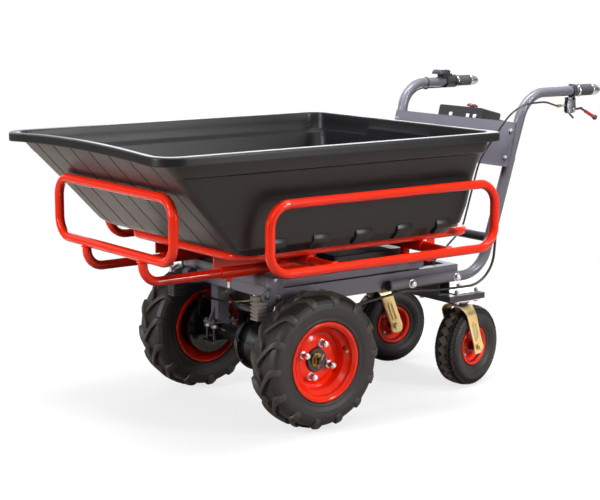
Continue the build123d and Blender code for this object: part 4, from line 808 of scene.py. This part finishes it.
# Clamp screws under the receivers: a bright steel stem, turned and threaded, with a black wing knob
# moulded on below it. Done up by hand, each holds a hoop where it is.
for side in ("left", "right"):
    x, y, z = joint_at("clamp_turn_" + side)
    hub = copies(rounded(9, 14, 1.6), [between((x, y, z - 28), (x, y, z - 14))])
    wing = slab([(x - 21, z - 24), (x - 18, z - 33), (x + 18, z - 33), (x + 21, z - 24), (x + 14, z - 18),
                 (x - 14, z - 18)], y - 3.5, y + 3.5, 2.0)
    knob_piece = make("wing_knob_" + side, gather(hub, wing), "clamp_screw_" + side, case_plastic)
    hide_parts("clamp_screw_" + side)
    stem_place = between((x, y, z - 16), (x, y, z + 4))
    make("clamp_stem_" + side, copies(rounded(4.6, 20, 0.5), [stem_place]), "clamp_screw_" + side, zinc)


# Tub: one rotation-moulded shell of black polyethylene that sits on the ring. It has a flat floor, a
# curved front that runs out as a slope with seven grooves, a raised band under the rim and a hollow
# rolled lip.
PEBBLE = 0.003           # pebbles of the mould's wall
SWEEPS = 7.0             # slow changes of tone in each metre
TUB_FLOOR = 528.5
TUB_TOP = 826.0
STEP_Z = 765.0           # where the wall steps out to the band
WALL = 5.0
SLOPE_INSET = 1.4        # how much further along X the inside lies on the slope
FLOOR_REAR = -168.0
FLOOR_FRONT = 530.0
FLOOR_WIDE = 342.0       # half the floor's width
FRONT_R = 100.0          # bend between floor and slope
SLOPE = radians(47)
REAR_R = 80.0            # bend between floor and rear wall
REAR_LEAN = 24.0         # how far the rear wall leans back above it
CHAMFER = 25.0           # height of the chamfer along the sides
CHAMFER_OUT = 28.0       # how far the wall comes out over the chamfer,
CREASE = 161.0           # height of a faint crease along the sides
CREASE_OUT = 19.0        # from the chamfer to the crease,
STEP_OUT = 19.0          # and from the crease to the step
REAR_CORNER = 46.0
FRONT_CORNER = 20.0      # radius at the floor
CORNER_GAIN = 10.0       # and how much it grows to the step
BAND_REAR = -278.0
BAND_FRONT = 796.0
BAND_HALF = 426.0
BAND_CORNER = 50.0
BAND_RUN = 54.0          # how far the band leans out in front,
BAND_REAR_RUN = 3.0      # at the rear
BAND_SIDE_RUN = 4.0      # and at the sides,
BAND_GAIN = 2.0          # and how much its front corners grow
LEDGE_LIFT = 22.0        # the ledge inside is higher in the middle of the rear wall
LEDGE_HALF = 150.0
LEDGE_MARKS = (300, LEDGE_HALF + 5, LEDGE_HALF - 5, 70, 0, -70, 5 - LEDGE_HALF, -5 - LEDGE_HALF, -300)
LIP_REAR = -304.0
LIP_FRONT = 870.0
LIP_HALF = 455.0
LIP_ARCH = 11.0          # the front lip rises to its middle
LIP_CORNER = 75.0
GROOVES = 7
GROOVE_PITCH = 104.0
GROOVE_HALF = 3.4
GROOVE_DEPTH = 3.0
ARC_STEPS = 8
BEND_STEPS = 8
SIDE_STEPS = 8
wall_height = STEP_Z - TUB_FLOOR
bend_rise = FRONT_R * (1 - cos(SLOPE))


def moulded_polyethylene(name):
    """Rotation-moulded black polyethylene: soft pebbles and a waxy satin gloss."""
    mat, tree, place = blank(name)
    pebble = add(tree, "TexNoise", {"Vector": place, "Scale": 1 / PEBBLE, "Detail": 3.0})
    bump = add(tree, "Bump", {"Height": pebble.outputs[0], "Strength": 0.22, "Distance": 0.0004})
    sweep = add(tree, "TexNoise", {"Vector": place, "Scale": SWEEPS, "Detail": 4.0})
    tone = add(tree, "Mix", {0: sweep.outputs[0], 6: linear("#0E0E0F"), 7: linear("#151517")},
               data_type="RGBA")
    rough = add(tree, "MapRange", {0: sweep.outputs[0], 3: 0.3, 4: 0.42})
    surface(tree, Base_Color=tone.outputs[2], Roughness=rough.outputs[0], Normal=bump.outputs[0],
            Specular_IOR_Level=0.27)
    return mat


def wall_at(rise, inset):
    """Rear, front, half width and two corner radii of the wall at a height above the floor."""
    turn = min(rise, bend_rise)
    front = FLOOR_FRONT + sqrt(FRONT_R ** 2 - (FRONT_R - turn) ** 2) + (rise - turn) / tan(SLOPE)
    low = min(rise / CHAMFER, 1.0)
    middle = min(max(rise - CHAMFER, 0.0) / (CREASE - CHAMFER), 1.0)
    high = max(rise - CREASE, 0.0) / (wall_height - CREASE)
    half = FLOOR_WIDE + CHAMFER_OUT * low + CREASE_OUT * middle + STEP_OUT * high
    bow = min(rise, REAR_R)
    share = max(rise - REAR_R, 0.0) / (wall_height - REAR_R)
    rear = FLOOR_REAR - sqrt(REAR_R ** 2 - (REAR_R - bow) ** 2) - REAR_LEAN * share
    corner = FRONT_CORNER + CORNER_GAIN * rise / wall_height
    return rear + inset, front - SLOPE_INSET * inset, half - inset, REAR_CORNER - inset, corner - inset


def band_at(z, grow):
    """The raised band under the lip, grown outwards or inwards."""
    up = (z - STEP_Z) / (TUB_TOP - STEP_Z)
    tight = min(grow, 0.0)
    return (BAND_REAR - BAND_REAR_RUN * up - grow, BAND_FRONT + BAND_RUN * up + grow,
            BAND_HALF + BAND_SIDE_RUN * up + grow, REAR_CORNER + tight, BAND_CORNER + BAND_GAIN * up + tight)


def lip_at(inset):
    """The outer face of the lip, drawn in by an inset."""
    return LIP_REAR + inset, LIP_FRONT - inset, LIP_HALF - inset, REAR_CORNER, LIP_CORNER - inset


# Stations up the outside, over the lip and down the inside: height, outline, then the shares of
# groove, arch and ledge.
front_turns = [FRONT_R * (1 - cos(SLOPE * i / BEND_STEPS)) for i in range(BEND_STEPS + 1)]
rises = [CHAMFER - 2, CHAMFER + 2, REAR_R, 95, 130, CREASE - 2, CREASE + 2, 190, 215, wall_height - 4]
rises = sorted(front_turns + rises)
stations = [(TUB_FLOOR + rise, wall_at(rise, 0.0), float(rise > 3), 0.0) for rise in rises]
for lift, grow in ((-1, 3.0), (0, 12.0), (2, 16.0), (7, 18.5)):
    rear, front, half, rear_corner, front_corner = wall_at(wall_height, 0.0)
    stepped = (rear - grow / 3, front + lift, half + grow, rear_corner, front_corner + grow)
    stations.append((STEP_Z + lift, stepped, 1.0, 0.0))
stations += [(800, band_at(800, 0), 1, 0.2), (816, band_at(816, 0), 0, 0.6), (820, band_at(820, 3), 0, 1)]
lip_turn = ((820, 9), (818, 6.5), (803, 6), (801, 5), (801, 1), (803, 0), (804.5, 0), (819.5, 0), (821, 0),
            (824, 1.2), (825.5, 3), (826, 5), (826, 6.5))
stations += [(z, lip_at(inset), 0, 1) for z, inset in lip_turn]
inner_turn = ((826, 1.5, 1, 0), (826, 0, 1, 0), (825.5, -2, 1, 0), (823.5, -4.2, 1, 0), (819, -5, 0.9, 0),
              (800, -5, 0.2, 0), (776, -5, 0, 1), (771.5, -6.5, 0, 1), (770, -10, 0, 1))
stations += [(z, band_at(z, grow), 0, arch, ledge) for z, grow, arch, ledge in inner_turn]
for rise in [r for r in reversed(rises) if r > WALL + 1] + [WALL]:
    stations.append((TUB_FLOOR + rise, wall_at(rise, WALL), 0.0, 0.0))
groove_marks = []
for i in range(GROOVES):
    middle = (i - (GROOVES - 1) / 2) * GROOVE_PITCH
    groove_marks += [(middle, -1, 0), (middle, -0.4, 1), (middle, 0.4, 1), (middle, 1, 0)]


def outline(z, shape, groove, arch, ledge=0.0):
    """Points round the shell: along the front with its grooves, then corner by corner to the left."""
    rear, front, half, rear_corner, front_corner = shape
    points = []
    for middle, side, deep in groove_marks:
        sink = deep * groove * GROOVE_DEPTH
        points.append(Vector((front - sink * sin(SLOPE), middle + side * GROOVE_HALF,
                              z + sink * cos(SLOPE))))
    ahead = front - front_corner
    behind = rear + rear_corner
    wide = half - front_corner
    narrow = half - rear_corner
    corners = ((ahead, wide, front_corner, behind, half), (behind, narrow, rear_corner, rear, None),
               (behind, -narrow, rear_corner, ahead, -half), (ahead, -wide, front_corner, None, None))
    for k, (x, y, r, next_x, next_y) in enumerate(corners):
        for a in range(ARC_STEPS + 1):
            turn = pi / 2 * (k + a / ARC_STEPS)
            points.append(Vector((x + r * cos(turn), y + r * sin(turn), z)))
        if k in (0, 2):
            for s in range(1, SIDE_STEPS):
                points.append(Vector((x + (next_x - x) * s / SIDE_STEPS, next_y, z)))
        if k == 1:
            for mark in LEDGE_MARKS:
                points.append(Vector((next_x, mark, z + ledge * LEDGE_LIFT * (abs(mark) < LEDGE_HALF))))
    span = half - LIP_CORNER
    for p in points:
        if p.x > ahead and abs(p.y) < span:
            p.z += arch * LIP_ARCH * (1 - (p.y / span) ** 2)
    return points + points[:1]


loops = [outline(*station) for station in stations]
tub = sheet_of(len(loops[0]) - 1, len(loops) - 1, lambda i, j: loops[j][i] * MM)
bmesh.ops.holes_fill(tub, edges=[e for e in tub.edges if e.is_boundary], sides=0)
bmesh.ops.recalc_face_normals(tub, faces=tub.faces)
tub_skin = moulded_polyethylene("black_polyethylene_rotomoulded")
tub_piece = make("tub_shell", tub, "tilt_platform", tub_skin, 30)
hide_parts("tub")

# Raised blocks along the lower edges of the tub, five on each side. They are moulded with the shell and
# stiffen the chamfer between its floor and walls.
BLOCK_PITCH = 149.5
BLOCK_REAR = -138.0
SIDE_BLOCKS = 5
raised = slab([(344, 530.5), (354, 529.5), (375.5, 549), (377.5, 561), (374.5, 574), (370.8, 573),
               (368, 553.5), (358.5, 545)], -29, 29, 1.6)
quarter_turn = Matrix.Rotation(pi / 2, 4, "Z")
seats = [at(BLOCK_REAR + i * BLOCK_PITCH, 0, 0) @ quarter_turn for i in range(SIDE_BLOCKS)]
tub_blocks = make("tub_blocks", copies(raised, mirrored(seats)), "tilt_platform", tub_skin)


# Handles: steel tube bent up behind the tub, in the grey coat, with a brace between them in a darker grey,
# partly its own colour and partly painted shade under the tub, and moulded plugs in the open ends. Two
# bolts go through each lower tube, with domed nuts on broad washers.
DOMES_X = (-114.0, -292.0)
DOME_Y = 263.0
DOME_Z = 367.0
dome = gather(turned([(0.01, 0), (13.5, 0), (13.5, 2.4), (0.01, 2.4)], 0.6, 40),
              turned([(0.01, 2), (10.6, 2), (10.6, 8), (9.2, 11.5), (5, 13.6), (0.01, 14)], 1.2, 40))
dome_seats = [at(x, DOME_Y, DOME_Z) for x in DOMES_X]
make("handle_nuts", copies(dome, mirrored(dome_seats)), "chassis", zinc)
dress(grey_coat, "handle_left", "handle_right")
# the brace's darker grey is partly painted shade under the tub
dress(shade_dark_coat, "handle_crossbar")
dress(case_plastic, "end_caps")

# Grips: moulded rubber sleeves with fine rings, a bright collar at the inner end and a polished bullet
# end of aluminium. They are pushed on the handle tubes, so each is turned about its tube, offsets running
# rearwards.
HANDLE_Y = 285.0
HANDLE_Z = 918.0
TUBE_R = 16.0
GRIP_IN = 770.0          # inner end behind the middle of the part
GRIP_RUBBER_END = 826.0
GRIP_RINGS = 11
along_handle = {side: at(0, y, HANDLE_Z) @ Matrix.Rotation(pi / 2, 4, "Z")
                for side, y in (("left", HANDLE_Y), ("right", -HANDLE_Y))}
sleeve_line = [(TUBE_R + 0.1, GRIP_IN), (20, GRIP_IN), (20, GRIP_IN + 3.5), (18, GRIP_IN + 5)]
ring_pitch = (GRIP_RUBBER_END - GRIP_IN - 8) / GRIP_RINGS
for i in range(GRIP_RINGS):
    start = GRIP_IN + 6 + i * ring_pitch
    sleeve_line += [(17.2, start + 0.4), (17.2, start + 1.2), (18, start + 1.6),
                    (18, start + ring_pitch - 0.4)]
sleeve = turned(sleeve_line + [(18, GRIP_RUBBER_END), (TUBE_R + 0.1, GRIP_RUBBER_END)], 0, 64)
collar = turned([(TUBE_R + 0.1, GRIP_IN - 6), (18.4, GRIP_IN - 6), (19.6, GRIP_IN - 3), (19.6, GRIP_IN),
                 (TUBE_R + 0.1, GRIP_IN)], 0.8, 64)
bullet = turned([(0.01, GRIP_RUBBER_END), (18.3, GRIP_RUBBER_END), (18.6, GRIP_RUBBER_END + 3),
                 (18, GRIP_RUBBER_END + 18), (15.6, GRIP_RUBBER_END + 28), (11, GRIP_RUBBER_END + 36),
                 (5, GRIP_RUBBER_END + 40.5), (0.01, GRIP_RUBBER_END + 41.5)], 1.6, 64)
grip_rubber = moulded_plastic("grey_black_grip_rubber", "#3A3A3D", "#454548", 0.5)
polished = hazy_metal("polished_aluminium", "#C9CBCF", "#A7A9AE", 0.2)
for side, place in along_handle.items():
    grip = make("grip_sleeve_" + side, copies(sleeve.copy(), [place]), "chassis", grip_rubber)
    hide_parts("grip_" + side)
    make("grip_collar_" + side, copies(collar.copy(), [place]), "chassis", polished)
    make("grip_bullet_" + side, copies(bullet.copy(), [place]), "chassis", polished)
for shape in (sleeve, collar, bullet):
    shape.free()

# Brake clamp on the left handle: a black band round the tube, a cast bracket with two cheeks, bright
# pins and a brass cable adjuster. The lever is a black rod with a red sleeve and a black ball end.
KNEE = Vector((-788.0, HANDLE_Y, 860.0))
TIP = Vector((-852.0, HANDLE_Y, 828.0))
BALL_R = 9.0
ROD_R = 3.6
PIN_LONG = 21.5
CLAMP_HALF = 9.0         # half the width of the band's ear and of the bracket
CHEEK_PITCH = 12.0       # from one cheek to the other
CABLE_Z = 872.0
pivot = joint_at("brake_pull")
catch = joint_at("parking_turn")
band = copies(turned([(TUBE_R + 0.05, 739), (20.8, 739), (20.8, 753), (TUBE_R + 0.05, 753)], 1.4, 64),
              [along_handle["left"]])
ear = slab([(-752, 902), (-740, 902), (-738, 893), (-742, 888), (-752, 888)],
           HANDLE_Y - CLAMP_HALF, HANDLE_Y + CLAMP_HALF, 1.5)
clamp_piece = make("brake_band", gather(band, ear), "chassis", case_plastic)
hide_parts("brake_clamp")
web = slab([(-757, 886), (-724, 886), (-722, 898), (-754, 898)],
           HANDLE_Y - CLAMP_HALF, HANDLE_Y + CLAMP_HALF, 2.0)
cheek = slab([(-756, 889), (-723, 889), (-719, 872), (-721, 851), (-729, 845.5), (-748, 848), (-757, 853),
              (-758, 866)], HANDLE_Y + 4, HANDLE_Y + 8, 1.4)
twin = cheek.copy()
bmesh.ops.translate(twin, vec=(0, -CHEEK_PITCH * MM, 0), verts=twin.verts)
casting = hazy_metal("grey_cast_bracket", "#7C7D80", "#5F6063", 0.42)
make("brake_bracket", gather(web, cheek, twin), "chassis", casting)
pin = rounded(4.6, PIN_LONG, 0.8)
pins = copies(pin, [at(x, y - PIN_LONG / 2, z) for x, y, z in (pivot, catch)])
cable_in = (-684, HANDLE_Y, CABLE_Z)
ferrule = copies(rounded(3.4, 42, 0.6), [between((-724, HANDLE_Y, CABLE_Z), cable_in)])
make("brake_pins", gather(pins, ferrule), "chassis", zinc)
knurl = gather(prism(18, 5, 0, 9, 0.8), prism(6, 5.4, 10, 14, 0.8))
knurl = copies(knurl, [between((-698, HANDLE_Y, CABLE_Z), cable_in)])
make("cable_adjuster", knurl, "chassis", brass, 20)

along = (TIP - KNEE).normalized()
sleeve_start = TIP - along * 50
boss = copies(turned([(3.2, -3.4), (8.5, -3.4), (8.5, 3.4), (3.2, 3.4)], 0.8, 40), [at(*pivot)])
arm = rounded(ROD_R, (KNEE - pivot).length, 3.0)
arm = copies(arm, [between(pivot - Vector((6, 0, 0)), KNEE)])
reach = rounded(ROD_R, (sleeve_start - KNEE).length + 12, 3.0)
reach = copies(reach, [between(KNEE - along * 3, TIP)])
ball = turned([(0.01, -BALL_R), (5, -BALL_R + 1.2), (BALL_R - 1, -3), (BALL_R, 2), (BALL_R - 2.4, 6.5),
               (0.01, BALL_R)], 2.4, 40)
ball = copies(ball, [between(TIP, TIP + along * 10)])
lever_piece = make("lever_rod", gather(boss, arm, reach, ball), "brake_lever", case_plastic)
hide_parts("brake_lever")
hand_sleeve = turned([(0.01, 0), (4.6, 0), (5.5, 3), (5.5, 43), (0.01, 43)], 1.0, 32)
red_sleeve = moulded_plastic("red_pvc_sleeve", "#C3241B", "#A81C15", 0.35)
make("lever_sleeve", copies(hand_sleeve, [between(sleeve_start, TIP)]), "brake_lever", red_sleeve)
dress(case_plastic, "parking_catch")

# Display pod on the right handle: a low bevelled ABS case with a dark acrylic window, beside the moulded
# throttle clamp and its thumb lever. A nylon tie holds the throttle cable to the tube.
TIE_X = -632.0
TIE_SAG = 3.2            # the tie hangs lower than the tube by this, to hold the cable
pod = slab([(-718, 944), (-670, 944), (-670, 950), (-677, 959), (-710, 959), (-718, 954)], -299, -257, 1.8)
pod_case = moulded_plastic("graphite_abs_moulded", "#3B3B3F", "#303034", 0.34)
pod_piece = make("pod_case", pod, "chassis", pod_case)
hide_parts("display_pod")
window = block((-708, -680), (-292, -264), (958.6, 959.6), 0.3)
make("pod_window", window, "chassis", moulded_plastic("dark_acrylic_window", "#101418", "#0C0F12", 0.1))
tie = turned([(TUBE_R + 0.2, -2.4), (TUBE_R + 1.5, -2.4), (TUBE_R + 1.5, 2.4), (TUBE_R + 0.2, 2.4)],
             0.4, 48)
stretch = at(0, -TIE_X, -TIE_SAG) @ Matrix.Diagonal((1, 1, 1.2, 1))
tie_head = block((TIE_X - 4, TIE_X + 4), (-HANDLE_Y - 4, -HANDLE_Y + 4), (893.5, 898), 0.8)
tie = gather(copies(tie, [along_handle["right"] @ stretch]), tie_head)
make("cable_tie", tie, "chassis", case_plastic)
dress(case_plastic, "throttle_clamp", "thumb_lever")

# Dash: a folded steel sheet in the grey coat, held to the uprights by two screws at each end. Behind it
# hangs a moulded control box with a pale lid, whose three fixing tabs stand above the edge of the sheet.
# On it are a dark red stop button and a key switch.
SHEET_EDGE = 0.001       # rounding along the edges of the sheet
LEAN = atan2(143.0, 551.0)
DASH_AT = (-504.5, 0.0, 758.0)
DASH_FACE = 19.0
TABS_Y = (-16.0, 64.0, 96.0)
SCREWS_Y = (-272.0, 272.0)
SCREWS_Z = (-42.0, 42.0)
dash_place = at(*DASH_AT) @ Matrix.Rotation(-LEAN, 4, "Y")
pale_plastic = moulded_plastic("pale_grey_abs", "#D9DADB", "#C9CACB", 0.4)
tab = slab([(16.1, 70.3), (19, 70.3), (19, 79.5), (17.5, 82), (16.1, 82)], -7, 7, 0.7)
tabs = copies(tab, [dash_place @ at(0, y, 0) for y in TABS_Y])
make("box_tabs", tabs, "chassis", pale_plastic)
screw = gather(prism(28, 7.5, 0, 1.6, 0.4), prism(6, 6.2, 1.4, 6, 0.8))
lie = Matrix.Rotation(-pi / 2, 4, "Z")
seats = [dash_place @ at(DASH_FACE, y, z) @ lie for y in SCREWS_Y for z in SCREWS_Z]
make("dash_screws", copies(screw, seats), "chassis", zinc)
stop_plastic = moulded_plastic("dark_red_polycarbonate", "#560D11", "#420A0C", 0.2)
soften(SHEET_EDGE, "dash_panel")
dress(grey_coat, "dash_panel")
dress(case_plastic, "control_box", "dash_fittings")
dress(pale_plastic, "control_lid")
dress(stop_plastic, "emergency_stop")
dress(zinc, "ignition_key")

# Cables of brake, motor and throttle: stranded wire in a round black PVC sheath, extruded and smooth.
# Each is fixed at both ends and follows the tubes on its way.
cable_sheath = moulded_plastic("black_pvc_sheath", "#151516", "#1E1E1F", 0.36)
dress(cable_sheath, "brake_cable", "motor_cable", "throttle_cable")
